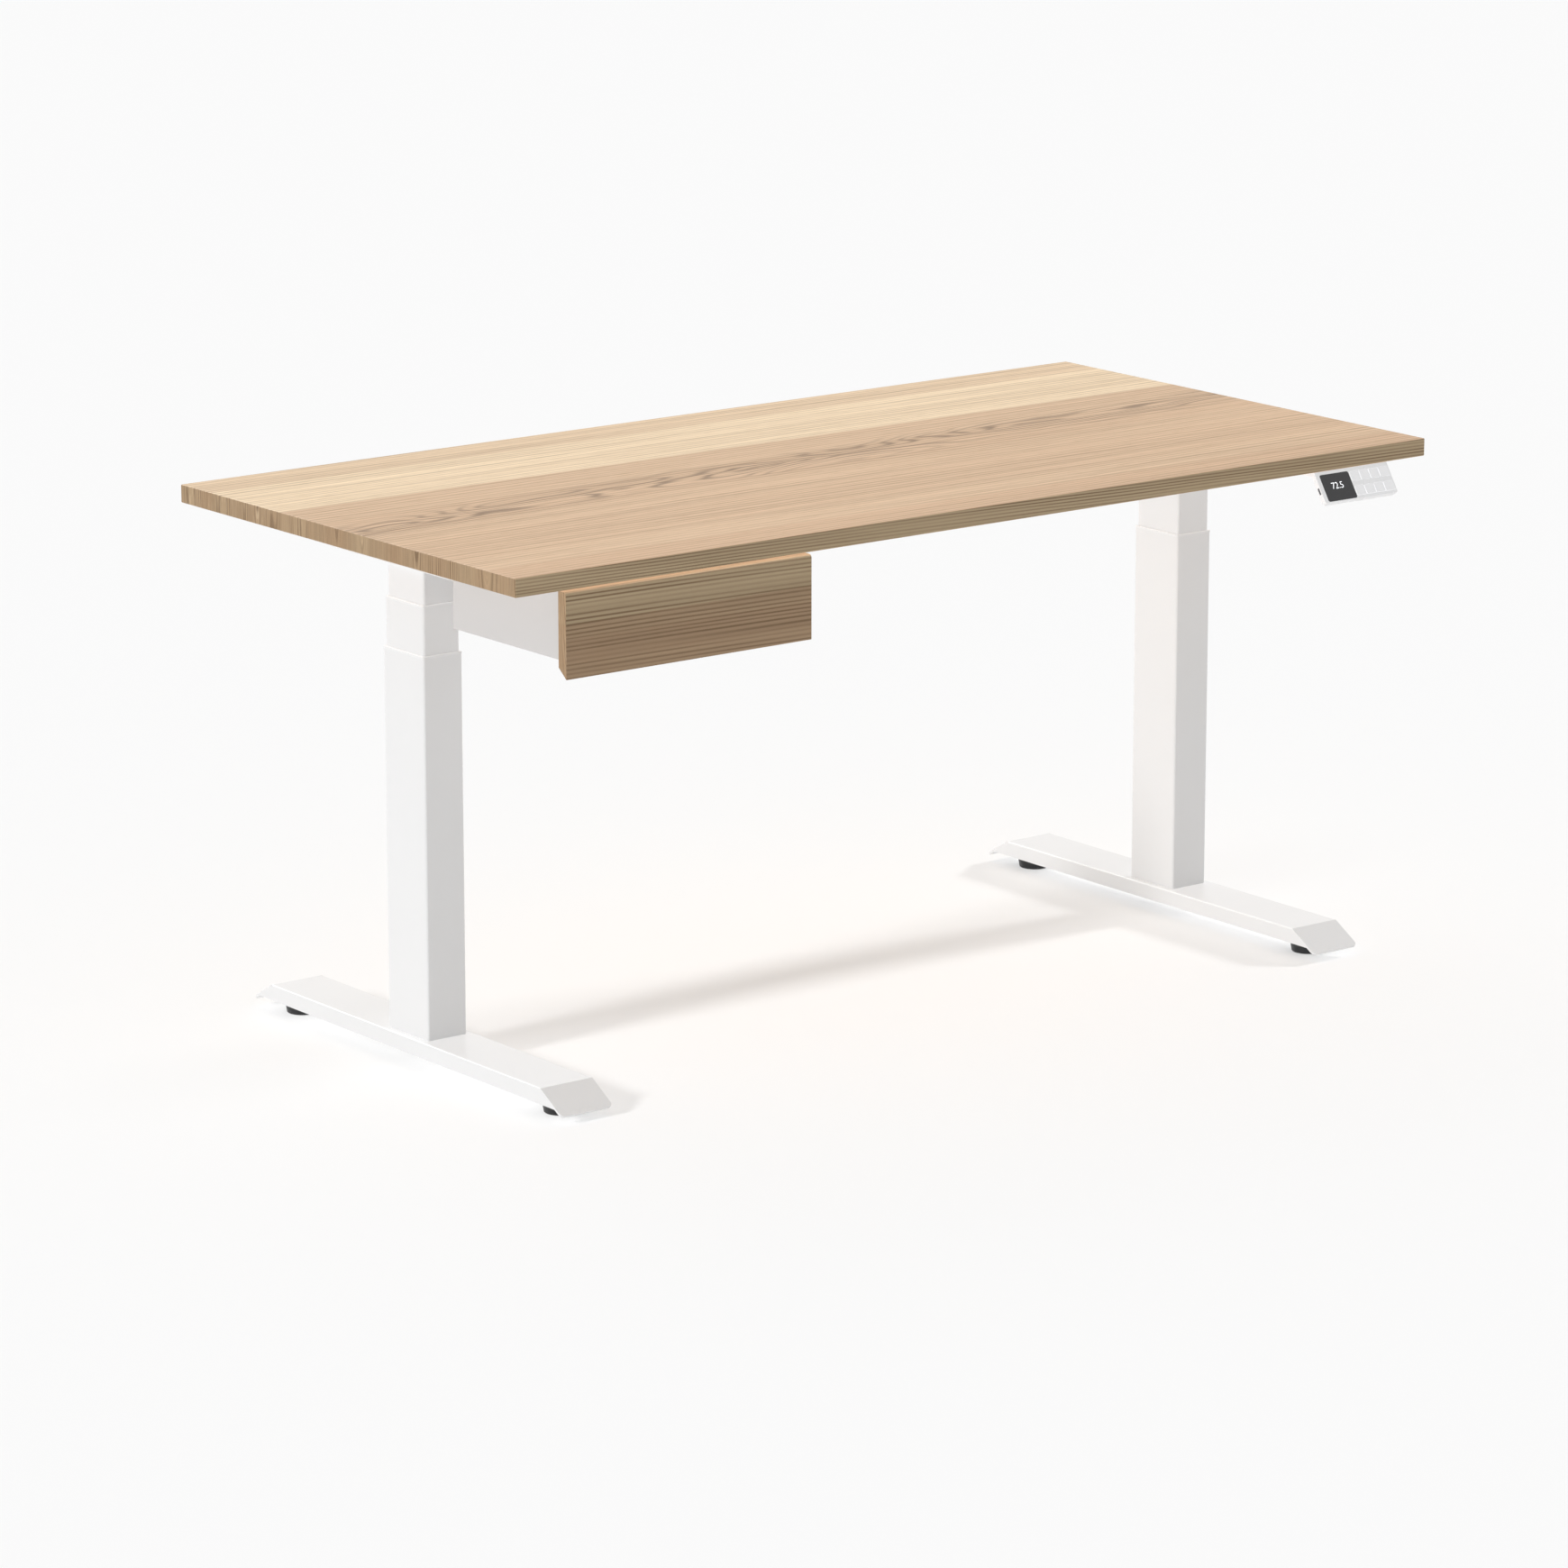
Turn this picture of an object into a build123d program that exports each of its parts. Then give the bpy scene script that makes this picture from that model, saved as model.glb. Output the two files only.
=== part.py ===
from build123d import *

import math
import os

# Height adjustable standing desk: two three-stage lifting columns under a timber top, with a
# drawer under the left half and a tilted handset at the front right.
#
# Millimetres. +X runs to the right along the width, -Y is the front, +Z is up. The floor is z = 0,
# and the origin lies under the middle of the desk's outline. All pieces are drawn about the middle
# of the desktop and then moved back by SHIFT_Y, half of what the handset stands out at the front.
# The desk is drawn at its rest height. From there the desktop goes 90 mm down and 560 mm up, and the
# middle stages go half as far.

# ---- how far a cutter runs past what it cuts
PAST = 1.0

# ---- desktop
TOP_W = 1500.0
TOP_D = 750.0
TOP_T = 24.0
TOP_Z = 712.0
TOP_EDGE = 1.5
UNDER = TOP_Z - TOP_T
FRONT = -TOP_D / 2

# ---- feet
COLUMN_X = 630.0
FOOT_W = 80.0
FOOT_TOP = 40.0
FOOT_FLAT = 610.0
FOOT_L = 700.0
FOOT_WALL = 3.0
FOOT_SIDE_Z = 19.0
FOOT_TIP_Z = 13.5
FOOT_TIP_R = 7.0
FOOT_EDGE_R = 2.0
FOOT_PLATE_X = 70.0
FOOT_PLATE_Y = 170.0
FOOT_PLATE_T = 6.0
FOOT_BOLT_X = 18.0
FOOT_BOLT_Y = 30.0
BOLT_R = 4.0
BOLT_HOLE_R = 4.05
BOLT_HEAD_R = 7.5
BOLT_HEAD_H = 5.3

# ---- levelling glides
GLIDE_Y = 292.0
GLIDE_R_FLOOR = 21.0
GLIDE_R_TOP = 24.0
GLIDE_PAD_H = 17.0
GLIDE_HUB_R = 8.0
GLIDE_HUB_Z = 21.7
GLIDE_BOSS_Z = 22.0
GLIDE_BOSS_R = 9.0
STUD_R = 5.0
STUD_TOP_Z = 36.7
STUD_BORE_R = 5.05
GLIDE_EDGE_R = 1.5
GLIDE_RIM = 1.0

# ---- column tubes: (width along X, depth along Y), wall and corner radius
OUTER_SIZE = (60.0, 90.0)
MIDDLE_SIZE = (55.0, 85.0)
INNER_SIZE = (50.0, 80.0)
TUBE_WALL = 1.5
TUBE_R = 3.0
OUTER_TOP = 541.0
MIDDLE_BOTTOM = 104.0
MIDDLE_TOP = 606.0
INNER_BOTTOM = 165.0
INNER_TOP = 682.0
COLLAR_H = 3.0
COLLAR_SKIRT = 40.0
COLLAR_GAP = 0.3
COLLAR_PROUD = 0.3
COLLAR_BEVEL = 0.6

# ---- lifting screws inside the columns
BASE_PLATE_T = 8.0
PILLAR_R = 12.0
PILLAR_BORE_R = 10.0
LOWER_NUT_Z = 375.0
LOWER_NUT_TOP = 400.0
HOLLOW_R = 9.0
HOLLOW_BORE_R = 6.5
HOLLOW_BOTTOM = 98.0
DRIVE_R = 6.0
DRIVE_BOTTOM = 142.0
DRIVE_TOP = 675.0
RUNNING_GAP = 0.05
CARRIER_PLATE_T = 6.0
CARRIER_HOLE_R = 12.5
CARRIER_BORE_R = 13.0
CARRIER_R = 15.0
CARRIER_TOP = 482.0
THRUST_RING_Z = 455.0
THRUST_RING_TOP = 475.0
UPPER_NUT_TOP = 506.0
SCREW_FLANGE_GAP = 0.1
SCREW_FLANGE_H = 3.0
SCREW_FLANGE_W = 2.0
SCREW_TIP = 1.0

# ---- gear units and motors at the column heads
GEARBOX_Z = 641.0
GEARBOX_TOP = 681.0
GEARBOX_GAP = 0.2
GEARBOX_R = 2.0
WHEEL_R = 19.0
WHEEL_TEETH = 30
WHEEL_TOOTH_H = 1.8
WHEEL_Z = 646.0
WHEEL_TOP = 664.0
WHEEL_ROOM_R = 19.8
WHEEL_ROOM_TOP = 668.0
NECK_Y = 28.0
NECK_Z = 657.0
NECK_BITE = 2.0
NECK_TOP = 679.0
WINDOW_Y = 30.0
WINDOW_Z = 656.5
MOTOR_R = 25.0
MOTOR_Z = 654.0
MOTOR_FLANGE_X = 34.0
MOTOR_FLANGE_T = 8.0
MOTOR_L = 112.0
MOTOR_STEP = 0.8
MOTOR_CAP_R = 21.0
MOTOR_CAP_T = 6.0
# the cable boss, from its near to its far side, measured from the can's end and from its axis
MOTOR_BOSS_X = (2.0, 16.0)
MOTOR_BOSS_Y = (12.0, 30.0)
MOTOR_BOSS_H = 12.0

# ---- steel frame under the desktop
FRAME_TOP = 685.0
BRACKET_W = 66.0
BRACKET_L = 560.0
BRACKET_T = 3.0
BRACKET_H = 30.0
BRACKET_TIP_H = 12.0
BRACKET_TAPER = 150.0
BRACKET_SCREW_X = 18.0
BRACKET_SCREW_Y = (120.0, 250.0)
RAIL_Y = 55.0
RAIL_D = 20.0
RAIL_H = 30.0
RAIL_T = 1.5
RAIL_R = 1.5
RAIL_HALF = 380.0
RAIL_SCREW_IN = 20.0
ARM_D = 16.0
ARM_H = 26.0
ARM_END_X = 180.0
END_PLATE_Y = 150.0
END_PLATE_T = 3.0
END_PLATE_NOTCH_Y = 54.0
END_SCREW_Y = (36.0, 70.0)
END_SCREW_Z = 670.0
BUFFER_R = 10.0
WOOD_SCREW_R = 2.4
WOOD_SCREW_HOLE_R = 2.45
WOOD_SCREW_HEAD_R = 5.0
WOOD_SCREW_HEAD_H = 3.2
WOOD_SCREW_DEPTH = 13.0
WOOD_SCREW_DOME = 1.4
WOOD_SCREW_TIP_ROOM = 0.5
CROSS_L = 4.0
CROSS_W = 0.9
CROSS_DEPTH = 1.3
FRAME_SCREW_R = 3.0
FRAME_SCREW_HEAD_R = 5.0
FRAME_SCREW_HEAD_H = 4.0
FRAME_SCREW_SOCKET_R = 2.2
FRAME_SCREW_SOCKET_L = 2.0
FRAME_SCREW_END = 2.0
CLEAR_HOLE_R = 3.2

# ---- control box
BOX_X0 = 70.0
BOX_X1 = 310.0
BOX_Y0 = 120.0
BOX_Y1 = 220.0
BOX_Z0 = 650.0
BOX_WALL = 2.0
BOX_R = 5.0
BOX_INNER_R = 3.0
BOX_FLOOR_R = 1.5
BOX_SCREW_IN = 15.0
LID_T = 4.0
LID_EAR = 18.0
VENT_COUNT = 12
VENT_START = 70.0
VENT_PITCH = 9.0
VENT_W = 3.0
# the vents' lower and upper end, above the box's floor
VENT_UP = (9.0, 25.0)
SOCKET_W = 18.0
SOCKET_H = 14.0
SOCKET_WALL = 2.0
SOCKET_L = 16.0
SOCKET_PROUD = 2.0
SOCKET_PITCH = 23.0
SOCKET_Z = 668.0
SOCKET_BACK_T = 3.0
SOCKET_COUNT = 4
BOARD_T = 1.6
BOARD_GAP = 5.0
BOARD_LIFT = 3.0
# parts on the board: x, length, y, depth and height
TRANSFORMER = (20.0, 50.0, 20.0, 40.0, 22.4)
HEAT_SINK = (150.0, 6.0, 12.0, 76.0, 20.4)
# a capacitor: y, radius and height
CAPACITORS = ((35.0, 8.0, 19.4), (65.0, 5.0, 14.4))
CAPACITOR_X = (95.0, 115.0, 135.0)

# ---- drawer
DRAWER_X0 = -675.0
DRAWER_X1 = -296.0
DRAWER_FRONT_T = 16.0
DRAWER_FRONT_Z0 = 576.0
DRAWER_FRONT_Z1 = 685.0
DRAWER_GRIP_H = 13.0
DRAWER_ROUND = 5.0
CASE_INSET = 10.0
CASE_T = 1.5
CASE_Z0 = 595.0
CASE_BACK_Y = -120.0
CASE_BACK_Z1 = 640.0
CASE_LIP = 12.0
CASE_FLANGE = 15.0
CASE_GAP = 1.0
CASE_FLANGE_SET_BACK = 6.0
TRAY_Z0 = 599.0
TRAY_Z1 = 643.0
TRAY_T = 1.0
TRAY_BACK_Y = -127.0
TRAY_FOLD_R = 0.8
TRAY_SCREW_Z = 621.0
TRAY_SCREW_X = (-130.0, 0.0, 130.0)
TRAY_SCREW_R = 1.75
TRAY_SCREW_PILOT_R = 1.8
TRAY_SCREW_HOLE_R = 1.9
TRAY_SCREW_HEAD_R = 4.2
TRAY_SCREW_HEAD_H = 2.4
TRAY_SCREW_DEPTH = 8.0
TRAY_SCREW_TIP_ROOM = 1.0
CASE_SCREW_Y = (-330.0, -240.0, -150.0)
RUNNER_Z = 619.5
RUNNER_T = 1.2
RUNNER_DEPTH = 11.1
RUNNER_FRONT_Y = -355.0
RUNNER_BACK_Y = -126.0
# a runner: where its web and its lips end, its height, and how much shorter it is at the back
FIXED_RUNNER = (0.0, 9.2, 27.0, 0.0)
MIDDLE_RUNNER = (2.2, 9.2, 22.0, 4.0)
INNER_RUNNER = (9.9, 4.6, 16.0, 6.0)

# ---- handset, drawn on the plane of its tilted face
FACE_LEAN = 57.0
FACE_L = 44.5
HANDSET_X0 = 550.0
HANDSET_X1 = 680.0
HANDSET_T = 7.1
HANDSET_CHIN = (5.2, 5.0)
HANDSET_TAB = 45.0
HANDSET_TAB_T = 6.0
HANDSET_SKIN = 1.2
CHIN_OVERRUN = 1.2
HANDSET_CORNER_R = 5.0
HANDSET_SCREW_Y = 32.0
HANDSET_SCREW_IN = 25.0
HOLLOW_IN = 3.0
HOLLOW_S = (4.5, 40.5)
BACK_IN = 2.0
BACK_S = (4.0, 41.0)
FIT_GAP = 0.1
LENS_ROOM = 0.5
# the handset's board: in from both ends, down the slope, and behind the face
BOARD_X_IN = (8.0, 5.0)
BOARD_S = (6.0, 39.0)
BOARD_N = (-5.6, -4.4)
DISPLAY_IN = 4.0
DISPLAY_S = (10.0, 36.0)
DISPLAY_N = -1.4
LENS_X0 = 556.5
LENS_W = 51.5
LENS_H = 38.8
LENS_S = 23.9
LENS_R = 3.0
KEY_X0 = 609.4
KEY_W = 16.6
KEY_H = 13.4
KEY_PITCH = 17.2
KEY_ROWS_S = (12.6, 33.4)
KEY_COUNT = 4
KEY_GAP = 0.3
KEY_PROUD = 0.3
KEY_DEPTH = 3.4
KEY_R = 1.0
USB_S = 26.0
USB_N = -3.6
USB_W = 9.2
USB_H = 3.4
USB_L = 7.0
USB_INSET = 0.2
USB_WALL = 0.4
USB_TONGUE_IN = 1.0
USB_TONGUE_S = 1.6
USB_TONGUE_HALF = 0.4

FACE_REACH = FACE_L * math.cos(math.radians(FACE_LEAN))
SHIFT_Y = FACE_REACH / 2


def block(x0, x1, y0, y1, z0, z1):
    """A box between two corners."""
    centre = Pos((x0 + x1) / 2, (y0 + y1) / 2, (z0 + z1) / 2)
    return centre * Box(abs(x1 - x0), abs(y1 - y0), abs(z1 - z0))


def post(x, y, z0, z1, radius):
    """An upright cylinder."""
    return Pos(x, y, (z0 + z1) / 2) * Cylinder(radius, z1 - z0)


def ring(x, y, z0, z1, radius, bore):
    """An upright cylinder with a bore through it."""
    return post(x, y, z0, z1, radius) - post(x, y, z0 - PAST, z1 + PAST, bore)


def rounded_post(x, y, z0, z1, size, radius):
    """An upright bar of rectangular section with rounded corners."""
    outline = Pos(x, y, z0) * RectangleRounded(size[0], size[1], radius)
    return extrude(outline, z1 - z0)


def square_tube(x, y, z0, z1, size, wall, radius):
    """An upright rectangular tube."""
    inner = (size[0] - 2 * wall, size[1] - 2 * wall)
    bore = rounded_post(x, y, z0 - PAST, z1 + PAST, inner, radius - wall)
    return rounded_post(x, y, z0, z1, size, radius) - bore


def rod_x(x0, x1, y, z, radius):
    """A cylinder lying along X."""
    return Pos((x0 + x1) / 2, y, z) * Rot(0, 90, 0) * Cylinder(radius, abs(x1 - x0))


def rod_y(x, y0, y1, z, radius):
    """A cylinder lying along Y."""
    return Pos(x, (y0 + y1) / 2, z) * Rot(90, 0, 0) * Cylinder(radius, abs(y1 - y0))


def plate_x(x0, x1, points):
    """A closed outline in Y and Z, extruded along X."""
    outline = Plane.YZ.offset(x0) * make_face(Polyline(*points, close=True))
    return extrude(outline, x1 - x0)


def bolt_places():
    """The four bolts of one foot, measured from its column's middle."""
    return [(sx * FOOT_BOLT_X, sy * FOOT_BOLT_Y) for sx in (-1, 1) for sy in (-1, 1)]


# ---- feet and glides


def foot(x):
    """Folded steel foot: a flat top, low sides, and a sloped plate at each end that stands below them."""
    half = FOOT_FLAT / 2
    tip = FOOT_L / 2
    slope = (tip - half) / (FOOT_TOP - FOOT_TIP_Z)
    side_end = half + slope * (FOOT_TOP - FOOT_SIDE_Z)
    x0 = x - FOOT_W / 2
    x1 = x + FOOT_W / 2
    outline = [(-side_end, FOOT_SIDE_Z), (-half, FOOT_TOP), (half, FOOT_TOP), (side_end, FOOT_SIDE_Z)]
    outside = plate_x(x0, x1, outline)
    long_edges = outside.edges().filter_by(Axis.Y).sort_by(Axis.Z)[-2:]
    outside = fillet(long_edges, FOOT_EDGE_R)
    inset = FOOT_WALL * math.hypot(slope, 1)
    roof = FOOT_TOP - FOOT_WALL
    low = FOOT_SIDE_Z - PAST
    roof_half = half + slope * FOOT_WALL - inset
    low_half = half + slope * (FOOT_TOP - low) - inset
    hollow = [(-low_half, low), (-roof_half, roof), (roof_half, roof), (low_half, low)]
    body = outside - plate_x(x0 + FOOT_WALL, x1 - FOOT_WALL, hollow)
    lean = math.degrees(math.atan2(FOOT_TOP - FOOT_TIP_Z, tip - half))
    run = math.hypot(FOOT_TOP - FOOT_TIP_Z, tip - half)
    for end in (-1, 1):
        plate = Box(FOOT_W, run, FOOT_WALL)
        outer_edges = plate.edges().filter_by(Axis.Z).group_by(Axis.Y)[-1 if end > 0 else 0]
        plate = fillet(outer_edges, FOOT_TIP_R)
        middle = Pos(x, end * (half + tip) / 2, (FOOT_TOP + FOOT_TIP_Z) / 2)
        body += middle * Rot(-end * lean, 0, 0) * Pos(0, 0, -FOOT_WALL / 2) * plate
    plate_x_half = FOOT_PLATE_X / 2
    plate_y_half = FOOT_PLATE_Y / 2
    under = roof - FOOT_PLATE_T
    body += block(x - plate_x_half, x + plate_x_half, -plate_y_half, plate_y_half, under, roof)
    for dx, dy in bolt_places():
        body -= post(x + dx, dy, under - PAST, FOOT_TOP + PAST, BOLT_HOLE_R)
    for y in (-GLIDE_Y, GLIDE_Y):
        body += ring(x, y, GLIDE_BOSS_Z, roof, GLIDE_BOSS_R, STUD_BORE_R)
    return body


def glide(x, y):
    """Screw-in levelling glide: a tapered pad with a hub and a threaded stud."""
    pad = Pos(x, y, GLIDE_PAD_H / 2) * Cone(GLIDE_R_FLOOR, GLIDE_R_TOP, GLIDE_PAD_H)
    pad = fillet(pad.edges().sort_by(Axis.Z)[0], GLIDE_EDGE_R)
    pad = chamfer(pad.edges().sort_by(Axis.Z)[-1], GLIDE_RIM)
    hub = post(x, y, GLIDE_PAD_H, GLIDE_HUB_Z, GLIDE_HUB_R)
    stud = post(x, y, GLIDE_HUB_Z, STUD_TOP_Z, STUD_R)
    return pad + hub + stud


def foot_bolts():
    """Hexagon bolts that hold each column to its foot from below."""
    seat = FOOT_TOP - FOOT_WALL - FOOT_PLATE_T
    solids = []
    for x in (-COLUMN_X, COLUMN_X):
        for dx, dy in bolt_places():
            head = extrude(Pos(x + dx, dy, seat) * RegularPolygon(BOLT_HEAD_R, 6), -BOLT_HEAD_H)
            solids.append(head + post(x + dx, dy, seat, FOOT_TOP + BASE_PLATE_T, BOLT_R))
    return solids


# ---- columns


def outer_tube(x):
    """Lowest and widest stage, standing on the foot."""
    return square_tube(x, 0, FOOT_TOP, OUTER_TOP, OUTER_SIZE, TUBE_WALL, TUBE_R)


def collar(x, size, inner_size, top):
    """Plastic guide sleeve in a tube's mouth: a thin lip on the rim and a skirt down its inside."""
    proud = (size[0] + 2 * COLLAR_PROUD, size[1] + 2 * COLLAR_PROUD)
    skirt = (size[0] - 2 * TUBE_WALL, size[1] - 2 * TUBE_WALL)
    way = (inner_size[0] + 2 * COLLAR_GAP, inner_size[1] + 2 * COLLAR_GAP)
    lip = rounded_post(x, 0, top, top + COLLAR_H, proud, TUBE_R)
    lip = chamfer(lip.edges().group_by(Axis.Z)[-1], COLLAR_BEVEL)
    sleeve = rounded_post(x, 0, top - COLLAR_SKIRT, top, skirt, TUBE_R - TUBE_WALL)
    bore = rounded_post(x, 0, top - COLLAR_SKIRT - PAST, top + COLLAR_H + PAST, way, TUBE_R)
    return lip + sleeve - bore


def nut_pillar(x):
    """Base plate inside the outer tube, with the pillar that carries the lower nut."""
    size = (OUTER_SIZE[0] - 2 * TUBE_WALL, OUTER_SIZE[1] - 2 * TUBE_WALL)
    plate = rounded_post(x, 0, FOOT_TOP, FOOT_TOP + BASE_PLATE_T, size, TUBE_R - TUBE_WALL)
    for dx, dy in bolt_places():
        plate -= post(x + dx, dy, FOOT_TOP - PAST, FOOT_TOP + BASE_PLATE_T + PAST, BOLT_HOLE_R)
    return plate + ring(x, 0, FOOT_TOP + BASE_PLATE_T, LOWER_NUT_Z, PILLAR_R, PILLAR_BORE_R)


def lower_nut(x):
    """Nut on the pillar, in which the hollow screw turns."""
    return ring(x, 0, LOWER_NUT_Z, LOWER_NUT_TOP, PILLAR_R, HOLLOW_R + RUNNING_GAP)


def middle_tube(x):
    """Middle stage, with its welded-in plate and carrier tube for the hollow screw."""
    tube = square_tube(x, 0, MIDDLE_BOTTOM, MIDDLE_TOP, MIDDLE_SIZE, TUBE_WALL, TUBE_R)
    room = (MIDDLE_SIZE[0] - 2 * TUBE_WALL, MIDDLE_SIZE[1] - 2 * TUBE_WALL)
    plate_top = MIDDLE_BOTTOM + CARRIER_PLATE_T
    plate = rounded_post(x, 0, MIDDLE_BOTTOM, plate_top, room, TUBE_R - TUBE_WALL)
    plate -= post(x, 0, MIDDLE_BOTTOM - PAST, plate_top + PAST, CARRIER_HOLE_R)
    carrier = ring(x, 0, plate_top, CARRIER_TOP, CARRIER_R, CARRIER_BORE_R)
    seat = ring(x, 0, THRUST_RING_Z, THRUST_RING_TOP, CARRIER_BORE_R, HOLLOW_R + RUNNING_GAP)
    return tube + plate + carrier + seat


def upper_nut(x):
    """Nut on the carrier tube, in which the drive screw turns."""
    return ring(x, 0, CARRIER_TOP, UPPER_NUT_TOP, CARRIER_R, DRIVE_R + RUNNING_GAP)


def hollow_screw(x):
    """Hollow lifting screw of the lower stage, hung from the thrust seat by its flange."""
    top = THRUST_RING_TOP + SCREW_FLANGE_H
    flange = post(x, 0, THRUST_RING_TOP + SCREW_FLANGE_GAP, top, HOLLOW_R + SCREW_FLANGE_W)
    rod = post(x, 0, HOLLOW_BOTTOM, top, HOLLOW_R)
    return rod + flange - post(x, 0, HOLLOW_BOTTOM - PAST, top + PAST, HOLLOW_BORE_R)


def drive_screw(x):
    """Solid lifting screw of the upper stage, turned by the worm wheel at its top."""
    rod = post(x, 0, DRIVE_BOTTOM, DRIVE_TOP, DRIVE_R)
    return chamfer(rod.edges().sort_by(Axis.Z)[0], SCREW_TIP)


def worm_wheel(x):
    """Toothed wheel on the drive screw: each tooth has a flat tip and a flat root."""
    root_r = WHEEL_R - WHEEL_TOOTH_H
    points = []
    for tooth in range(WHEEL_TEETH):
        for step, radius in ((0.0, WHEEL_R), (0.35, WHEEL_R), (0.55, root_r), (0.8, root_r)):
            turn = 2 * math.pi * (tooth + step) / WHEEL_TEETH
            points.append((radius * math.cos(turn), radius * math.sin(turn)))
    outline = Pos(x, 0, WHEEL_Z) * make_face(Polyline(*points, close=True))
    return extrude(outline, WHEEL_TOP - WHEEL_Z) - post(x, 0, WHEEL_Z - PAST, WHEEL_TOP + PAST, DRIVE_R)


def inner_tube(x):
    """Top stage, with a window for the motor's neck on the side towards the desk's middle."""
    side = -1 if x > 0 else 1
    tube = square_tube(x, 0, INNER_BOTTOM, INNER_TOP, INNER_SIZE, TUBE_WALL, TUBE_R)
    wall_x = x + side * INNER_SIZE[0] / 2
    reach = TUBE_WALL + PAST
    window_y = (-WINDOW_Y / 2, WINDOW_Y / 2)
    return tube - block(wall_x - reach, wall_x + reach, *window_y, WINDOW_Z, INNER_TOP + PAST)


def gear_housing(x):
    """Die-cast gear unit in the column's head, with a neck and a flange for the motor."""
    side = -1 if x > 0 else 1
    room = 2 * (TUBE_WALL + GEARBOX_GAP)
    size = (INNER_SIZE[0] - room, INNER_SIZE[1] - room)
    body = rounded_post(x, 0, GEARBOX_Z, GEARBOX_TOP, size, GEARBOX_R)
    body -= post(x, 0, GEARBOX_Z - PAST, WHEEL_ROOM_TOP, WHEEL_ROOM_R)
    body -= post(x, 0, GEARBOX_Z - PAST, DRIVE_TOP + PAST, DRIVE_R + RUNNING_GAP)
    neck_x = x + side * (size[0] / 2 - NECK_BITE)
    flange_x = x + side * MOTOR_FLANGE_X
    body += block(neck_x, flange_x, -NECK_Y / 2, NECK_Y / 2, NECK_Z, NECK_TOP)
    return body + rod_x(flange_x, flange_x + side * MOTOR_FLANGE_T, 0, MOTOR_Z, MOTOR_R)


def motor(x):
    """Round motor can with an end cap and a cable boss, lying towards the desk's middle."""
    side = -1 if x > 0 else 1
    start = x + side * (MOTOR_FLANGE_X + MOTOR_FLANGE_T)
    end = start + side * MOTOR_L
    can = rod_x(start, end, 0, MOTOR_Z, MOTOR_R - MOTOR_STEP)
    cap = rod_x(end, end + side * MOTOR_CAP_T, 0, MOTOR_Z, MOTOR_CAP_R)
    boss_x = [end - side * d for d in MOTOR_BOSS_X]
    boss = block(*boss_x, *MOTOR_BOSS_Y, MOTOR_Z - MOTOR_BOSS_H / 2, MOTOR_Z + MOTOR_BOSS_H / 2)
    return can + cap + boss


# ---- frame under the desktop


def bracket_screw_places():
    """Where each side bracket is screwed up into the desktop, measured from the column's middle."""
    return [(sx * BRACKET_SCREW_X, sy * y) for sx in (-1, 1) for sy in (-1, 1) for y in BRACKET_SCREW_Y]


def end_screw_places():
    """Screws of a crossbar end plate, as Y and Z."""
    return [(sy * y, END_SCREW_Z) for sy in (-1, 1) for y in END_SCREW_Y]


def side_bracket(x):
    """Folded channel across the column's head that carries the desktop."""
    side = -1 if x > 0 else 1
    half = BRACKET_L / 2
    web_z = FRAME_TOP - BRACKET_T
    low = FRAME_TOP - BRACKET_H
    tip = FRAME_TOP - BRACKET_TIP_H
    outline = [
        (-half, FRAME_TOP),
        (half, FRAME_TOP),
        (half, tip),
        (BRACKET_TAPER, low),
        (-BRACKET_TAPER, low),
        (-half, tip),
    ]
    body = plate_x(x - BRACKET_W / 2, x + BRACKET_W / 2, outline)
    room = BRACKET_W / 2 - BRACKET_T
    body -= block(x - room, x + room, -half - PAST, half + PAST, low - PAST, web_z)
    for dx, dy in bracket_screw_places():
        body -= post(x + dx, dy, web_z - PAST, FRAME_TOP + PAST, CLEAR_HOLE_R)
    leg_in = x + side * (room - PAST)
    leg_out = x + side * (BRACKET_W / 2 + PAST)
    for y, z in end_screw_places():
        body -= rod_x(leg_in, leg_out, y, z, FRAME_SCREW_R + RUNNING_GAP)
    return body - block(leg_in, leg_out, -WINDOW_Y / 2, WINDOW_Y / 2, low - PAST, web_z)


def crossbar_rail(side):
    """Middle length of the telescopic crossbar."""
    y = side * RAIL_Y
    z1 = FRAME_TOP
    z0 = z1 - RAIL_H
    outside = block(-RAIL_HALF, RAIL_HALF, y - RAIL_D / 2, y + RAIL_D / 2, z0, z1)
    outside = fillet(outside.edges().filter_by(Axis.X), RAIL_R)
    room = RAIL_D / 2 - RAIL_T
    end = RAIL_HALF + PAST
    return outside - block(-end, end, y - room, y + room, z0 + RAIL_T, z1 - RAIL_T)


def crossbar_end(side):
    """End plate of the crossbar with the two arms that telescope into the rails."""
    face_x = side * (COLUMN_X - BRACKET_W / 2)
    plate_in = face_x - side * END_PLATE_T
    z1 = FRAME_TOP
    z0 = z1 - RAIL_H
    body = block(face_x, plate_in, -END_PLATE_Y / 2, END_PLATE_Y / 2, z0, z1)
    notch = END_PLATE_NOTCH_Y / 2
    cut_x = (face_x + side * PAST, plate_in - side * PAST)
    body -= block(*cut_x, -notch, notch, z0 - PAST, z1 + PAST - BRACKET_T)
    arm_z0 = z0 + (RAIL_H - ARM_H) / 2
    for sy in (-1, 1):
        y = sy * RAIL_Y
        arm = block(plate_in, side * ARM_END_X, y - ARM_D / 2, y + ARM_D / 2, arm_z0, arm_z0 + ARM_H)
        room = ARM_D / 2 - RAIL_T
        far = side * (ARM_END_X - PAST)
        arm -= block(cut_x[1], far, y - room, y + room, arm_z0 + RAIL_T, arm_z0 + ARM_H - RAIL_T)
        body += arm
    for y, z in end_screw_places():
        body -= rod_x(*cut_x, y, z, FRAME_SCREW_R + RUNNING_GAP)
    return body


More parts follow.
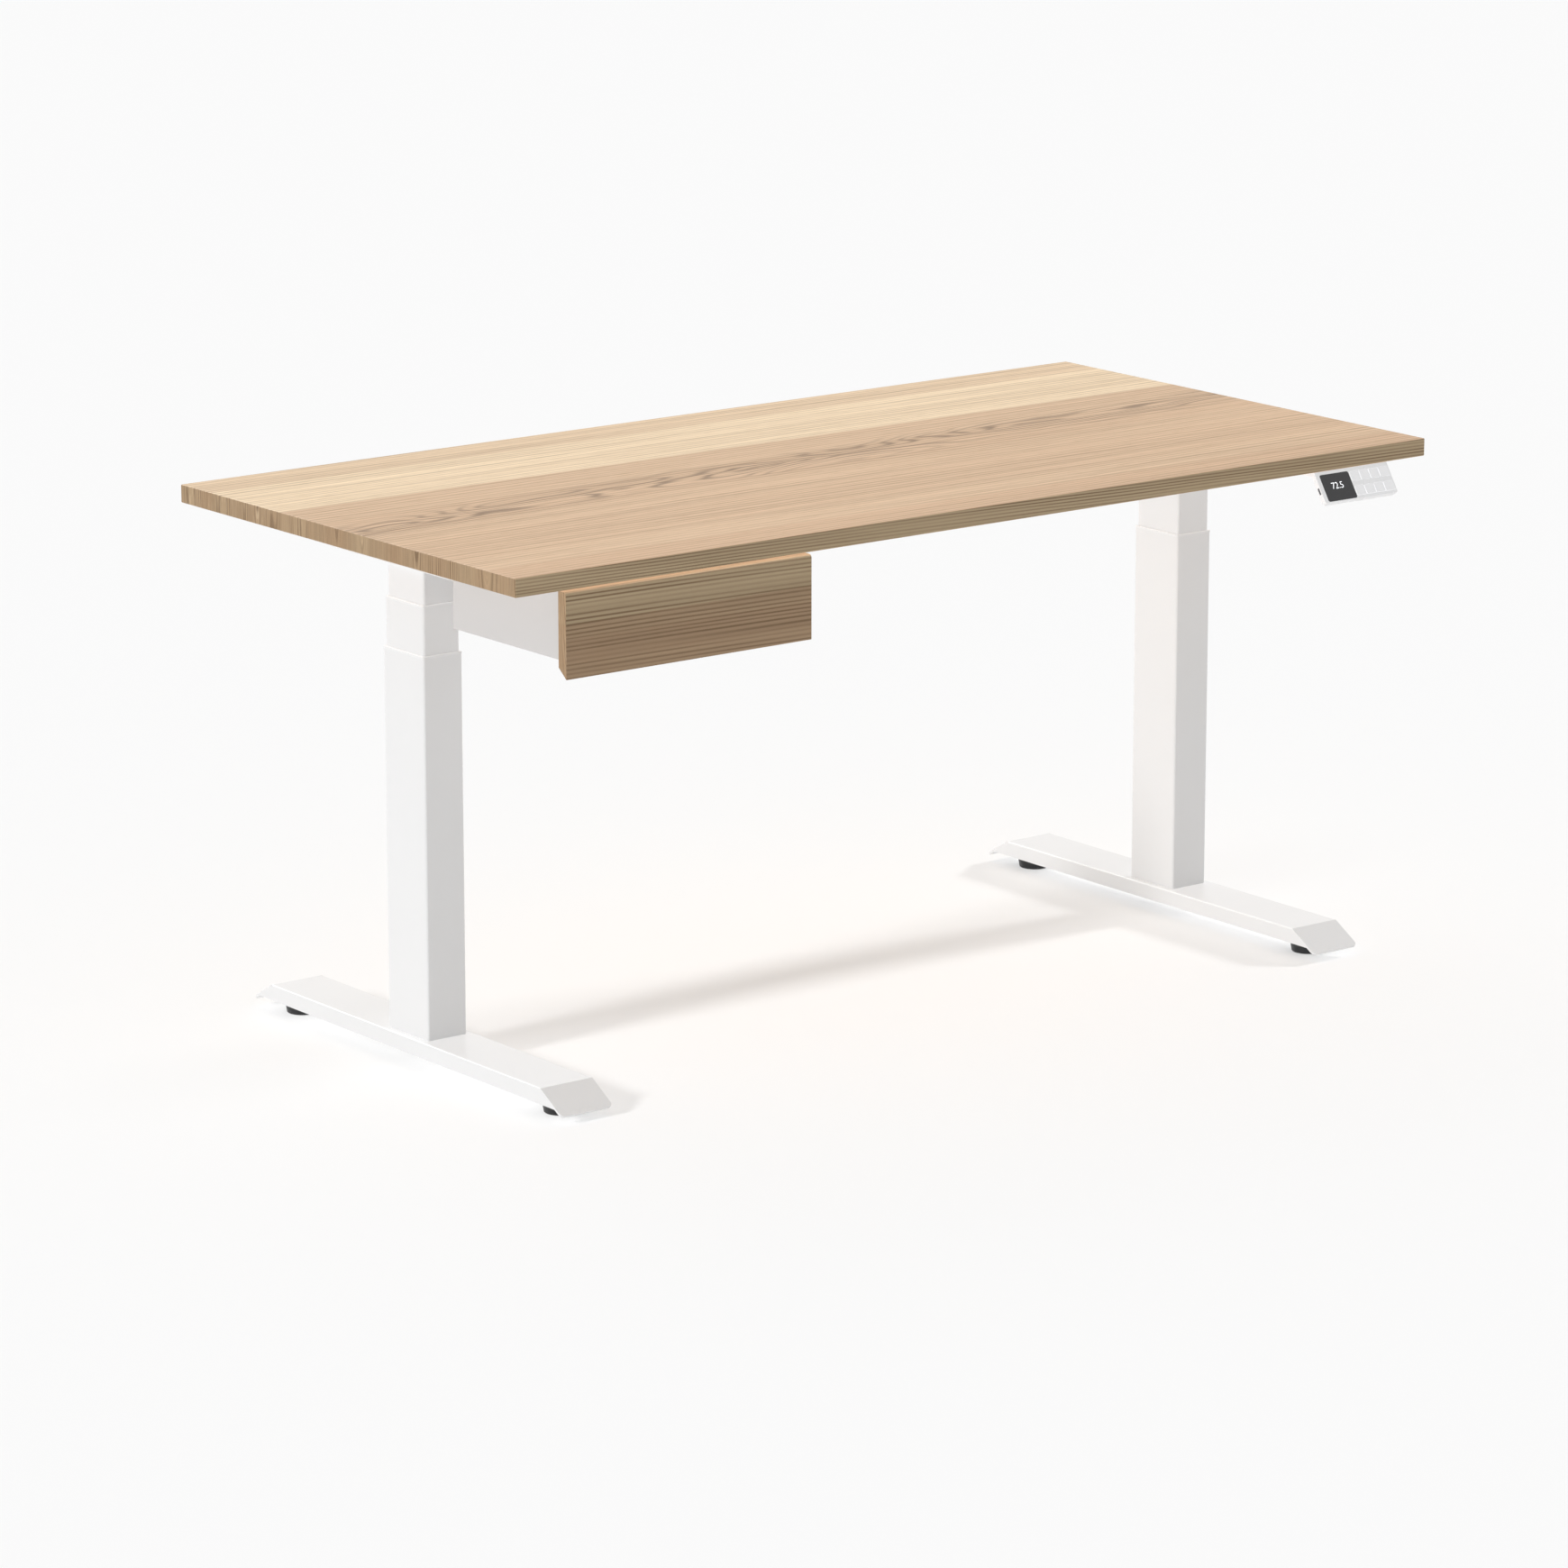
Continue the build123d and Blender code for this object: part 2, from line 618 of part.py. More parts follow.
def frame_screws():
    """Socket-head screws: through the end plates, and the clamp screws of the rails."""
    solids = []
    for side in (-1, 1):
        face_x = side * (COLUMN_X - BRACKET_W / 2)
        seat = face_x - side * END_PLATE_T
        for y, z in end_screw_places():
            head = rod_x(seat, seat - side * FRAME_SCREW_HEAD_H, y, z, FRAME_SCREW_HEAD_R)
            socket_x = seat - side * (FRAME_SCREW_HEAD_H - FRAME_SCREW_SOCKET_L)
            head -= rod_x(socket_x, seat - side * (FRAME_SCREW_HEAD_H + PAST), y, z, FRAME_SCREW_SOCKET_R)
            tip = face_x + side * (BRACKET_T + FRAME_SCREW_END)
            solids.append(head + rod_x(seat, tip, y, z, FRAME_SCREW_R))
        for sy in (-1, 1):
            rail_face = sy * (RAIL_Y + RAIL_D / 2)
            x = side * (RAIL_HALF - RAIL_SCREW_IN)
            z = FRAME_TOP - RAIL_H / 2
            solids.append(rod_y(x, rail_face, rail_face + sy * FRAME_SCREW_HEAD_H, z, FRAME_SCREW_HEAD_R))
    return solids


def rubber_buffers():
    """Rubber rings between the brackets and the desktop, one round each screw."""
    solids = []
    for x in (-COLUMN_X, COLUMN_X):
        for dx, dy in bracket_screw_places():
            solids.append(ring(x + dx, dy, FRAME_TOP, UNDER, BUFFER_R, CLEAR_HOLE_R))
    return solids


def handset_screw_places():
    """Screws of the handset's tab."""
    screw_x = (HANDSET_X0 + HANDSET_SCREW_IN, HANDSET_X1 - HANDSET_SCREW_IN)
    return [(x, FRONT + HANDSET_SCREW_Y) for x in screw_x]


def box_screw_places():
    """Screws of the control box's ears."""
    ears = (BOX_X0 - LID_EAR / 2, BOX_X1 + LID_EAR / 2)
    return [(x, y) for x in ears for y in (BOX_Y0 + BOX_SCREW_IN, BOX_Y1 - BOX_SCREW_IN)]


def drawer_screw_places():
    """Screws of the drawer case's two outward flanges."""
    left = DRAWER_X0 + CASE_INSET - CASE_FLANGE / 2
    right = DRAWER_X1 - CASE_INSET + CASE_FLANGE / 2
    return [(x, y) for x in (left, right) for y in CASE_SCREW_Y]


def wood_screws():
    """Every screw that goes up into the desktop, as X, Y and the height of the face under its head."""
    web_z = FRAME_TOP - BRACKET_T
    places = [(x + dx, dy, web_z) for x in (-COLUMN_X, COLUMN_X) for dx, dy in bracket_screw_places()]
    places += [(x, y, UNDER - HANDSET_TAB_T) for x, y in handset_screw_places()]
    places += [(x, y, UNDER - LID_T) for x, y in box_screw_places()]
    places += [(x, y, UNDER - CASE_T) for x, y in drawer_screw_places()]
    return places


def desktop():
    """Timber top with eased edges and blind pilot holes from below."""
    body = block(-TOP_W / 2, TOP_W / 2, -TOP_D / 2, TOP_D / 2, UNDER, TOP_Z)
    body = fillet(body.edges(), TOP_EDGE)
    for x, y, _ in wood_screws():
        body -= post(x, y, UNDER - PAST, UNDER + WOOD_SCREW_DEPTH + WOOD_SCREW_TIP_ROOM, WOOD_SCREW_HOLE_R)
    return body


def desktop_screws():
    """Pan-head wood screws with a cross recess."""
    solids = []
    for x, y, seat in wood_screws():
        head = post(x, y, seat - WOOD_SCREW_HEAD_H, seat, WOOD_SCREW_HEAD_R)
        head = fillet(head.edges().sort_by(Axis.Z)[0], WOOD_SCREW_DOME)
        low = seat - WOOD_SCREW_HEAD_H
        for dx, dy in ((CROSS_L / 2, CROSS_W / 2), (CROSS_W / 2, CROSS_L / 2)):
            head -= block(x - dx, x + dx, y - dy, y + dy, low - PAST, low + CROSS_DEPTH)
        solids.append(head + post(x, y, seat, UNDER + WOOD_SCREW_DEPTH, WOOD_SCREW_R))
    return solids


# ---- control box


def socket_centres():
    """Y of each socket along the box's end wall."""
    middle = (BOX_Y0 + BOX_Y1) / 2
    return [middle + (i - (SOCKET_COUNT - 1) / 2) * SOCKET_PITCH for i in range(SOCKET_COUNT)]


def control_box_case():
    """Moulded box, open at the top, with its sockets let into one end wall and vent slots along a side."""
    outside = block(BOX_X0, BOX_X1, BOX_Y0, BOX_Y1, BOX_Z0, UNDER - LID_T)
    outside = fillet(outside.edges().filter_by(Axis.Z), BOX_R)
    outside = fillet(outside.edges().group_by(Axis.Z)[0], BOX_FLOOR_R)
    x0 = BOX_X0 + BOX_WALL
    y0 = BOX_Y0 + BOX_WALL
    y1 = BOX_Y1 - BOX_WALL
    inside = block(x0, BOX_X1 - BOX_WALL, y0, y1, BOX_Z0 + BOX_WALL, UNDER)
    body = outside - fillet(inside.edges().filter_by(Axis.Z), BOX_INNER_R)
    z0 = SOCKET_Z - SOCKET_H / 2
    z1 = SOCKET_Z + SOCKET_H / 2
    for y in socket_centres():
        body -= block(BOX_X0 - PAST, x0 + PAST, y - SOCKET_W / 2, y + SOCKET_W / 2, z0, z1)
    vent_z = [BOX_Z0 + up for up in VENT_UP]
    for i in range(VENT_COUNT):
        x = BOX_X0 + VENT_START + i * VENT_PITCH
        body -= block(x, x + VENT_W, y1 - PAST, BOX_Y1 + PAST, *vent_z)
    return body


def control_box_lid():
    """Lid against the desktop, with an ear at each end for two screws."""
    x0 = BOX_X0 - LID_EAR
    x1 = BOX_X1 + LID_EAR
    lid = block(x0, x1, BOX_Y0, BOX_Y1, UNDER - LID_T, UNDER)
    lid = fillet(lid.edges().filter_by(Axis.Z), BOX_R)
    for x, y in box_screw_places():
        lid -= post(x, y, UNDER - LID_T - PAST, UNDER + PAST, CLEAR_HOLE_R)
    return lid


def control_box_board():
    """Circuit board with its transformer, capacitors and heat sink."""
    z0 = BOX_Z0 + BOX_WALL + BOARD_LIFT
    z1 = z0 + BOARD_T
    x0 = BOX_X0 + SOCKET_L + BOARD_LIFT
    board = block(x0, BOX_X1 - BOARD_GAP, BOX_Y0 + BOARD_GAP, BOX_Y1 - BOARD_GAP, z0, z1)
    for x, length, y, depth, height in (TRANSFORMER, HEAT_SINK):
        board += block(x0 + x, x0 + x + length, BOX_Y0 + y, BOX_Y0 + y + depth, z1, z1 + height)
    for x in CAPACITOR_X:
        for y, radius, height in CAPACITORS:
            board += post(x0 + x, BOX_Y0 + y, z1, z1 + height, radius)
    return board


def control_box_sockets():
    """Mains inlet, two motor sockets and the handset socket, each a hollow moulding."""
    solids = []
    x0 = BOX_X0 - SOCKET_PROUD
    for y in socket_centres():
        z0 = SOCKET_Z - SOCKET_H / 2
        z1 = SOCKET_Z + SOCKET_H / 2
        shell = block(x0, x0 + SOCKET_L, y - SOCKET_W / 2, y + SOCKET_W / 2, z0, z1)
        room = SOCKET_W / 2 - SOCKET_WALL
        end = x0 + SOCKET_L - SOCKET_BACK_T
        shell -= block(x0 - PAST, end, y - room, y + room, z0 + SOCKET_WALL, z1 - SOCKET_WALL)
        solids.append(shell)
    return solids


# ---- drawer


def drawer_case():
    """Folded steel case: two side plates with flanges under the desktop, a low back and two bottom lips."""
    x0 = DRAWER_X0 + CASE_INSET
    x1 = DRAWER_X1 - CASE_INSET
    front = FRONT + DRAWER_FRONT_T + CASE_GAP
    flange_y = FRONT + DRAWER_FRONT_T + CASE_FLANGE_SET_BACK
    body = block(x0, x1, CASE_BACK_Y - CASE_T, CASE_BACK_Y, CASE_Z0, CASE_BACK_Z1)
    for x, inward in ((x0, 1), (x1, -1)):
        body += block(x, x + inward * CASE_T, front, CASE_BACK_Y, CASE_Z0, UNDER)
        body += block(x, x + inward * CASE_LIP, front, CASE_BACK_Y, CASE_Z0, CASE_Z0 + CASE_T)
        body += block(x, x - inward * CASE_FLANGE, flange_y, CASE_BACK_Y, UNDER - CASE_T, UNDER)
    for x, y in drawer_screw_places():
        body -= post(x, y, UNDER - CASE_T - PAST, UNDER + PAST, CLEAR_HOLE_R)
    return body


def runner_bar(wall_x, inward, section):
    """One member of a ball-bearing runner: a web with two lips, measured inward from the case's wall."""
    web, lip_end, height, shorter = section
    y0 = RUNNER_FRONT_Y
    y1 = RUNNER_BACK_Y - shorter
    z0 = RUNNER_Z - height / 2
    z1 = RUNNER_Z + height / 2

    def at(d):
        return wall_x + inward * d

    body = block(at(web), at(web + RUNNER_T), y0, y1, z0, z1)
    for low, high in ((z0, z0 + RUNNER_T), (z1 - RUNNER_T, z1)):
        body += block(at(web), at(lip_end), y0, y1, low, high)
    return body


def runner_walls():
    """The inner faces of the case's sides, with the inward direction."""
    return ((DRAWER_X0 + CASE_INSET + CASE_T, 1), (DRAWER_X1 - CASE_INSET - CASE_T, -1))


def runners_fixed():
    """Members screwed to the case."""
    return [runner_bar(x, inward, FIXED_RUNNER) for x, inward in runner_walls()]


def runners_middle():
    """Members that travel half as far as the drawer."""
    return [runner_bar(x, inward, MIDDLE_RUNNER) for x, inward in runner_walls()]


def runners_inner():
    """Members on the tray."""
    return [runner_bar(x, inward, INNER_RUNNER) for x, inward in runner_walls()]


def drawer_tray():
    """Folded steel tray between the runners."""
    (left, _), (right, _) = runner_walls()
    x0 = left + RUNNER_DEPTH
    x1 = right - RUNNER_DEPTH
    front = FRONT + DRAWER_FRONT_T
    body = block(x0, x1, front, TRAY_BACK_Y, TRAY_Z0, TRAY_Z1)
    body = fillet(body.edges().group_by(Axis.Z)[0], TRAY_FOLD_R)
    inside_y = (front + TRAY_T, TRAY_BACK_Y - TRAY_T)
    body -= block(x0 + TRAY_T, x1 - TRAY_T, *inside_y, TRAY_Z0 + TRAY_T, TRAY_Z1 + PAST)
    for x in tray_screw_x():
        body -= rod_y(x, front - PAST, inside_y[0] + PAST, TRAY_SCREW_Z, TRAY_SCREW_HOLE_R)
    return body


def tray_screw_x():
    """Where the tray is screwed to the timber front."""
    middle = (DRAWER_X0 + DRAWER_X1) / 2
    return [middle + d for d in TRAY_SCREW_X]


def drawer_front():
    """Timber front with a rounded top edge and a bevel along the bottom to pull it by."""
    back = FRONT + DRAWER_FRONT_T
    outline = [
        (FRONT, DRAWER_FRONT_Z0),
        (back, DRAWER_FRONT_Z0 + DRAWER_GRIP_H),
        (back, DRAWER_FRONT_Z1),
        (FRONT, DRAWER_FRONT_Z1),
    ]
    body = plate_x(DRAWER_X0, DRAWER_X1, outline)
    top_edge = body.edges().filter_by(Axis.X).group_by(Axis.Z)[-1].sort_by(Axis.Y)[0]
    body = fillet(top_edge, DRAWER_ROUND)
    for x in tray_screw_x():
        pilot_end = back - TRAY_SCREW_DEPTH - TRAY_SCREW_TIP_ROOM
        body -= rod_y(x, pilot_end, back + PAST, TRAY_SCREW_Z, TRAY_SCREW_PILOT_R)
    return body


def drawer_screws():
    """Screws through the tray's front wall into the timber."""
    back = FRONT + DRAWER_FRONT_T
    seat = back + TRAY_T
    solids = []
    for x in tray_screw_x():
        head = rod_y(x, seat, seat + TRAY_SCREW_HEAD_H, TRAY_SCREW_Z, TRAY_SCREW_HEAD_R)
        solids.append(head + rod_y(x, back - TRAY_SCREW_DEPTH, seat, TRAY_SCREW_Z, TRAY_SCREW_R))
    return solids


# ---- handset


def face_place():
    """The handset's face: x across, y up the slope, z out of the face, from the middle of its top edge."""
    lean = math.radians(FACE_LEAN)
    middle = (HANDSET_X0 + HANDSET_X1) / 2
    outward = (0, -math.sin(lean), math.cos(lean))
    return Plane(origin=(middle, FRONT, UNDER), x_dir=(1, 0, 0), z_dir=outward).location


def on_face(x0, x1, s0, s1, n0, n1, radius=0.0):
    """A block on the face: X as on the desk, s down the slope, n out of the face."""
    middle = (HANDSET_X0 + HANDSET_X1) / 2
    shape = Box(x1 - x0, s1 - s0, n1 - n0)
    if radius:
        shape = fillet(shape.edges().filter_by(Axis.Z), radius)
    return face_place() * Pos((x0 + x1) / 2 - middle, -(s0 + s1) / 2, (n0 + n1) / 2) * shape


def handset_profile():
    """Section of the handset in Y and Z: tilted face, chin, back, and the tab under the desktop."""
    lean = math.radians(FACE_LEAN)
    down = (-math.cos(lean), -math.sin(lean))
    chin = (FRONT + FACE_L * down[0], UNDER + FACE_L * down[1])
    heel = (chin[0] + HANDSET_CHIN[0], chin[1] - HANDSET_CHIN[1])
    rise = (UNDER - HANDSET_TAB_T - heel[1]) / math.sin(lean)
    elbow = (heel[0] + rise * math.cos(lean), UNDER - HANDSET_TAB_T)
    return [(FRONT, UNDER), chin, heel, elbow, (FRONT + HANDSET_TAB, elbow[1]), (FRONT + HANDSET_TAB, UNDER)]


def key_window(row_s):
    """The opening in the face for one row of keys."""
    x1 = KEY_X0 + (KEY_COUNT - 1) * KEY_PITCH + KEY_W
    half = KEY_H / 2 + KEY_GAP
    radius = KEY_R + KEY_GAP
    return on_face(KEY_X0 - KEY_GAP, x1 + KEY_GAP, row_s - half, row_s + half, -HANDSET_T, PAST, radius)


def handset_shell():
    """White moulding with its display window, two key windows, USB slot and a hollow behind them."""
    body = plate_x(HANDSET_X0, HANDSET_X1, handset_profile())
    chin_s = FACE_L + CHIN_OVERRUN
    reach = -HANDSET_TAB
    body = body & on_face(HANDSET_X0, HANDSET_X1, reach, chin_s, reach, PAST, HANDSET_CORNER_R)
    behind = -HANDSET_T - PAST
    body -= on_face(HANDSET_X0 + HOLLOW_IN, HANDSET_X1 - HOLLOW_IN, *HOLLOW_S, behind, -HANDSET_SKIN)
    rebate = -HANDSET_T + HANDSET_SKIN
    body -= on_face(HANDSET_X0 + BACK_IN, HANDSET_X1 - BACK_IN, *BACK_S, behind, rebate)
    lens_x = (LENS_X0 - FIT_GAP, LENS_X0 + LENS_W + FIT_GAP)
    lens_half = LENS_H / 2 + FIT_GAP
    lens_s = (LENS_S - lens_half, LENS_S + lens_half)
    body -= on_face(*lens_x, *lens_s, -HANDSET_SKIN - LENS_ROOM, PAST, LENS_R)
    for row_s in KEY_ROWS_S:
        body -= key_window(row_s)
    usb_half_s = USB_W / 2 + FIT_GAP
    usb_half_n = USB_H / 2 + FIT_GAP
    usb_s = (USB_S - usb_half_s, USB_S + usb_half_s)
    usb_n = (USB_N - usb_half_n, USB_N + usb_half_n)
    body -= on_face(HANDSET_X0 - PAST, HANDSET_X0 + HOLLOW_IN + PAST, *usb_s, *usb_n)
    for x, y in handset_screw_places():
        body -= post(x, y, UNDER - HANDSET_TAB_T - PAST, UNDER + PAST, CLEAR_HOLE_R)
    return body


def handset_back():
    """Cover that closes the handset from behind."""
    inset = BACK_IN + FIT_GAP
    s0 = BACK_S[0] + FIT_GAP
    s1 = BACK_S[1] - FIT_GAP
    return on_face(HANDSET_X0 + inset, HANDSET_X1 - inset, s0, s1, -HANDSET_T, -HANDSET_T + HANDSET_SKIN)


def handset_lens():
    """Dark window over the display."""
    lens_s = (LENS_S - LENS_H / 2, LENS_S + LENS_H / 2)
    return on_face(LENS_X0, LENS_X0 + LENS_W, *lens_s, -HANDSET_SKIN, 0.0, LENS_R)


def handset_board():
    """Circuit board with the display module."""
    board = on_face(HANDSET_X0 + BOARD_X_IN[0], HANDSET_X1 - BOARD_X_IN[1], *BOARD_S, *BOARD_N)
    display_x = (LENS_X0 + DISPLAY_IN, LENS_X0 + LENS_W - DISPLAY_IN)
    return board + on_face(*display_x, *DISPLAY_S, BOARD_N[1], DISPLAY_N)


def handset_key(row, column):
    """One push key, slightly proud of the face."""
    x0 = KEY_X0 + column * KEY_PITCH
    s = KEY_ROWS_S[row]
    return on_face(x0, x0 + KEY_W, s - KEY_H / 2, s + KEY_H / 2, -KEY_DEPTH, KEY_PROUD, KEY_R)


def usb_port():
    """USB charging socket in the handset's left end: a metal shell with its tongue."""
    x0 = HANDSET_X0 + USB_INSET
    s0 = USB_S - USB_W / 2
    s1 = USB_S + USB_W / 2
    n0 = USB_N - USB_H / 2
    n1 = USB_N + USB_H / 2
    wall = USB_WALL
    shell = on_face(x0, x0 + USB_L, s0, s1, n0, n1)
    shell -= on_face(x0 - PAST, x0 + USB_L - wall, s0 + wall, s1 - wall, n0 + wall, n1 - wall)
    tongue_s = (s0 + USB_TONGUE_S, s1 - USB_TONGUE_S)
    tongue_n = (USB_N - USB_TONGUE_HALF, USB_N + USB_TONGUE_HALF)
    return shell + on_face(x0 + USB_TONGUE_IN, x0 + USB_L, *tongue_s, *tongue_n)


# ---- the whole desk, node by node


def nodes():
    """Every node's name with its solid or solids."""
    parts = {"desktop": desktop()}
    for side, x in (("left", -COLUMN_X), ("right", COLUMN_X)):
        parts[f"foot_{side}"] = foot(x)
        parts[f"outer_tube_{side}"] = outer_tube(x)
        parts[f"middle_tube_{side}"] = middle_tube(x)
        parts[f"middle_collar_{side}"] = collar(x, MIDDLE_SIZE, INNER_SIZE, MIDDLE_TOP)
        parts[f"inner_tube_{side}"] = inner_tube(x)
        parts[f"upper_nut_{side}"] = upper_nut(x)
        parts[f"hollow_screw_{side}"] = hollow_screw(x)
        parts[f"drive_screw_{side}"] = drive_screw(x)
        parts[f"worm_wheel_{side}"] = worm_wheel(x)
        parts[f"side_bracket_{side}"] = side_bracket(x)
        for place, y in (("front", -GLIDE_Y), ("back", GLIDE_Y)):
            parts[f"glide_{place}_{side}"] = glide(x, y)
    both = (-COLUMN_X, COLUMN_X)
    parts["foot_bolts"] = foot_bolts()
    parts["outer_collars"] = [collar(x, OUTER_SIZE, MIDDLE_SIZE, OUTER_TOP) for x in both]
    parts["nut_pillars"] = [nut_pillar(x) for x in both]
    parts["lower_nuts"] = [lower_nut(x) for x in both]
    parts["gear_housings"] = [gear_housing(x) for x in both]
    parts["motors"] = [motor(x) for x in both]
    parts["crossbar_rails"] = [crossbar_rail(side) for side in (-1, 1)]
    parts["crossbar_ends"] = [crossbar_end(side) for side in (-1, 1)]
    parts["frame_screws"] = frame_screws()
    parts["desktop_screws"] = desktop_screws()
    parts["rubber_buffers"] = rubber_buffers()
    parts["control_box_case"] = control_box_case()
    parts["control_box_lid"] = control_box_lid()
    parts["control_box_board"] = control_box_board()
    parts["control_box_sockets"] = control_box_sockets()
    parts["drawer_case"] = drawer_case()
    parts["drawer_runners_fixed"] = runners_fixed()
    parts["drawer_runners_middle"] = runners_middle()
    parts["drawer_runners_inner"] = runners_inner()
    parts["drawer_tray"] = drawer_tray()
    parts["drawer_front"] = drawer_front()
    parts["drawer_screws"] = drawer_screws()
    parts["handset_shell"] = handset_shell()
    parts["handset_back"] = handset_back()
    parts["handset_lens"] = handset_lens()
    parts["handset_board"] = handset_board()
    parts["usb_port"] = usb_port()
    for row, label in enumerate(("top", "bottom")):
        for column in range(KEY_COUNT):
            parts[f"key_{label}_{column + 1}"] = handset_key(row, column)
    return parts


def write_nodes():
    """Moves each node into the row's frame and writes its STEP file."""
    os.makedirs("parts", exist_ok=True)
    for name, shape in nodes().items():
        solids = shape if isinstance(shape, list) else [shape]
        placed = [Pos(0, SHIFT_Y, 0) * solid for one in solids for solid in one.solids()]
        export_step(placed[0] if len(placed) == 1 else Compound(children=placed), f"parts/{name}.step")


write_nodes()
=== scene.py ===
import math

import bmesh
import bpy
from bpy.props import FloatProperty, FloatVectorProperty, PointerProperty, StringProperty
from mathutils import Matrix, Vector


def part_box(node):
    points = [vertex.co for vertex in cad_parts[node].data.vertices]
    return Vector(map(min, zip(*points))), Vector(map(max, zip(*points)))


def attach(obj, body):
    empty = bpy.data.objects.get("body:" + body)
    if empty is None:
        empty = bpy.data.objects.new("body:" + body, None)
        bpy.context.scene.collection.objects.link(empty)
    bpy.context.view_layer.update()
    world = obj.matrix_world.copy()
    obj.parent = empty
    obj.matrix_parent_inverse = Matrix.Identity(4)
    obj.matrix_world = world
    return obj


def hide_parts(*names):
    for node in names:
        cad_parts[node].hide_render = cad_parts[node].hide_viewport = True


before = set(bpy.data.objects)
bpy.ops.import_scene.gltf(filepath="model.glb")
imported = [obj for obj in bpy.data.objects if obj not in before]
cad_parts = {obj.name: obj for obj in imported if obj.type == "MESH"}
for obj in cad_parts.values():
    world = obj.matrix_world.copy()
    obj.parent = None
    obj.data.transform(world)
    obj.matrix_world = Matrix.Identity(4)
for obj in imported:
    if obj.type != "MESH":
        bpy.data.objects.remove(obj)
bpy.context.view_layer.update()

bl_info = {
    "name": "Height adjustable desk",
    "version": (1, 0, 0),
    "blender": (4, 5, 0),
    "location": "View3D > Sidebar > Desk",
    "description": "Finishes, small parts and stage for a height adjustable standing desk",
    "category": "Object",
}

SIDES = ("left", "right")

# the desktop's boards: where each starts, from 0 at the front edge to 1 at the back, and its share
# of the warm tone
BOARDS = (
    (0.0, 1.12),
    (0.08, 0.88),
    (0.165, 0.98),
    (0.345, 0.94),
    (0.43, 1.05),
    (0.56, 0.96),
    (0.686, 0.04),
    (0.80, 0.0),
    (0.90, 0.42),
)

# the drawer's front: where each layer starts, from 0 at its foot, and its share of the edge tone
DRAWER_LAYERS = ((0.0, 0.1), (0.17, 0.0), (0.45, 0.2), (0.63, 1.0))

# the handset: how far its face leans up from flat, and the flat marks on it, in metres
HANDSET_LEAN = math.radians(57.0)
READING_PROUD = 0.00004
MARK_PROUD = 0.00003
KEY_DIGIT_SIZE = 0.0058
DOT_RADIUS = 0.0011
ARROW_RADIUS = 0.0024

# the lifting screws, in metres
HOLLOW_BORE = 0.0065
HOLLOW_RADIUS = 0.009
FLANGE_THICKNESS = 0.0029

# how many threads run side by side, and how many facets a turn of the thread and of the bore has
STARTS = 2
THREAD_STEPS = 20
BORE_STEPS = 40

# points of a mesh this close together are one, in metres
CLOSE = 1e-7
# and so are the thread's two ends, and the points of one level
SEAM = 1e-5


# ---- settings


def colour(name, description, default):
    """A colour setting, in linear light."""
    return FloatVectorProperty(
        name=name, description=description, default=default, size=3, min=0.0, max=1.0,
        subtype="COLOR",
    )


def length(name, description, default):
    """A size setting, in metres."""
    return FloatProperty(
        name=name, description=description, default=default, min=0.0, unit="LENGTH"
    )


def share(name, description, default):
    """A setting between none and all."""
    return FloatProperty(
        name=name, description=description, default=default, min=0.0, max=1.0, subtype="FACTOR"
    )


def angle(name, description, degrees):
    """An angle setting, given in degrees."""
    return FloatProperty(
        name=name, description=description, default=math.radians(degrees), subtype="ANGLE"
    )


def brightness(name, description, default):
    """How bright a light is, from nought up."""
    return FloatProperty(name=name, description=description, default=default, min=0.0)


class DeskTimberSettings(bpy.types.PropertyGroup):
    """The lacquered timber of the desktop and the drawer's front."""

    pale: colour("Pale board", "Colour of the desktop's palest boards", (0.94, 0.735, 0.49))
    warm: colour("Warm board", "Colour of the desktop's warmer boards", (0.70, 0.475, 0.295))
    drawer_edge: colour(
        "Drawer front", "Colour of the drawer front's lower boards", (0.41, 0.275, 0.165)
    )
    edge: colour("Long edge", "Colour of the desktop's long edges", (0.49, 0.375, 0.23))
    end: colour("End grain", "Colour of the sawn ends of the boards", (0.36, 0.232, 0.128))
    line: colour("Late wood", "Colour of the dark lines of the grain", (0.16, 0.095, 0.045))
    roughness: share("Roughness", "How matt the lacquer is", 0.46)
    pore_depth: length("Pore depth", "How deep the open pores are", 0.00006)


class DeskPaintSettings(bpy.types.PropertyGroup):
    """The white powder coat of the steel parts, and the drawer's grey coat, darkened as painted
    shade.
    """

    white: colour("White", "Colour of the powder coat", (0.80, 0.80, 0.80))
    # the drawer's light warm grey, darkened further to paint the shade that the desktop above
    # throws on the drawer
    drawer_grey_and_shade: colour("Drawer grey with painted shade", "Colour of the drawer's steel, darkened as painted shade", (0.60, 0.587, 0.58))
    roughness: share("Roughness", "How matt the powder coat is", 0.34)
    peel: length("Orange peel", "Height of the ripples that the coat sets with", 0.000012)


class DeskMetalSettings(bpy.types.PropertyGroup):
    """The lifting screws."""

    lead: length("Lead", "How far a lifting screw climbs in one turn", 0.006)
    thread_depth: length("Thread depth", "How deep the thread is rolled", 0.0009)


class DeskHandsetSettings(bpy.types.PropertyGroup):
    """The handset's mouldings and its display."""

    shell: colour("Shell", "Colour of the handset's moulding", (0.88, 0.88, 0.885))
    keys: colour("Keys", "Colour of the push keys", (0.93, 0.93, 0.94))
    window: colour("Window", "Colour of the smoked window", (0.03, 0.03, 0.032))
    reading: StringProperty(
        name="Reading", description="Height shown on the display", default="72.5"
    )
    digit_height: length("Digit height", "Height of the display's digits", 0.0098)


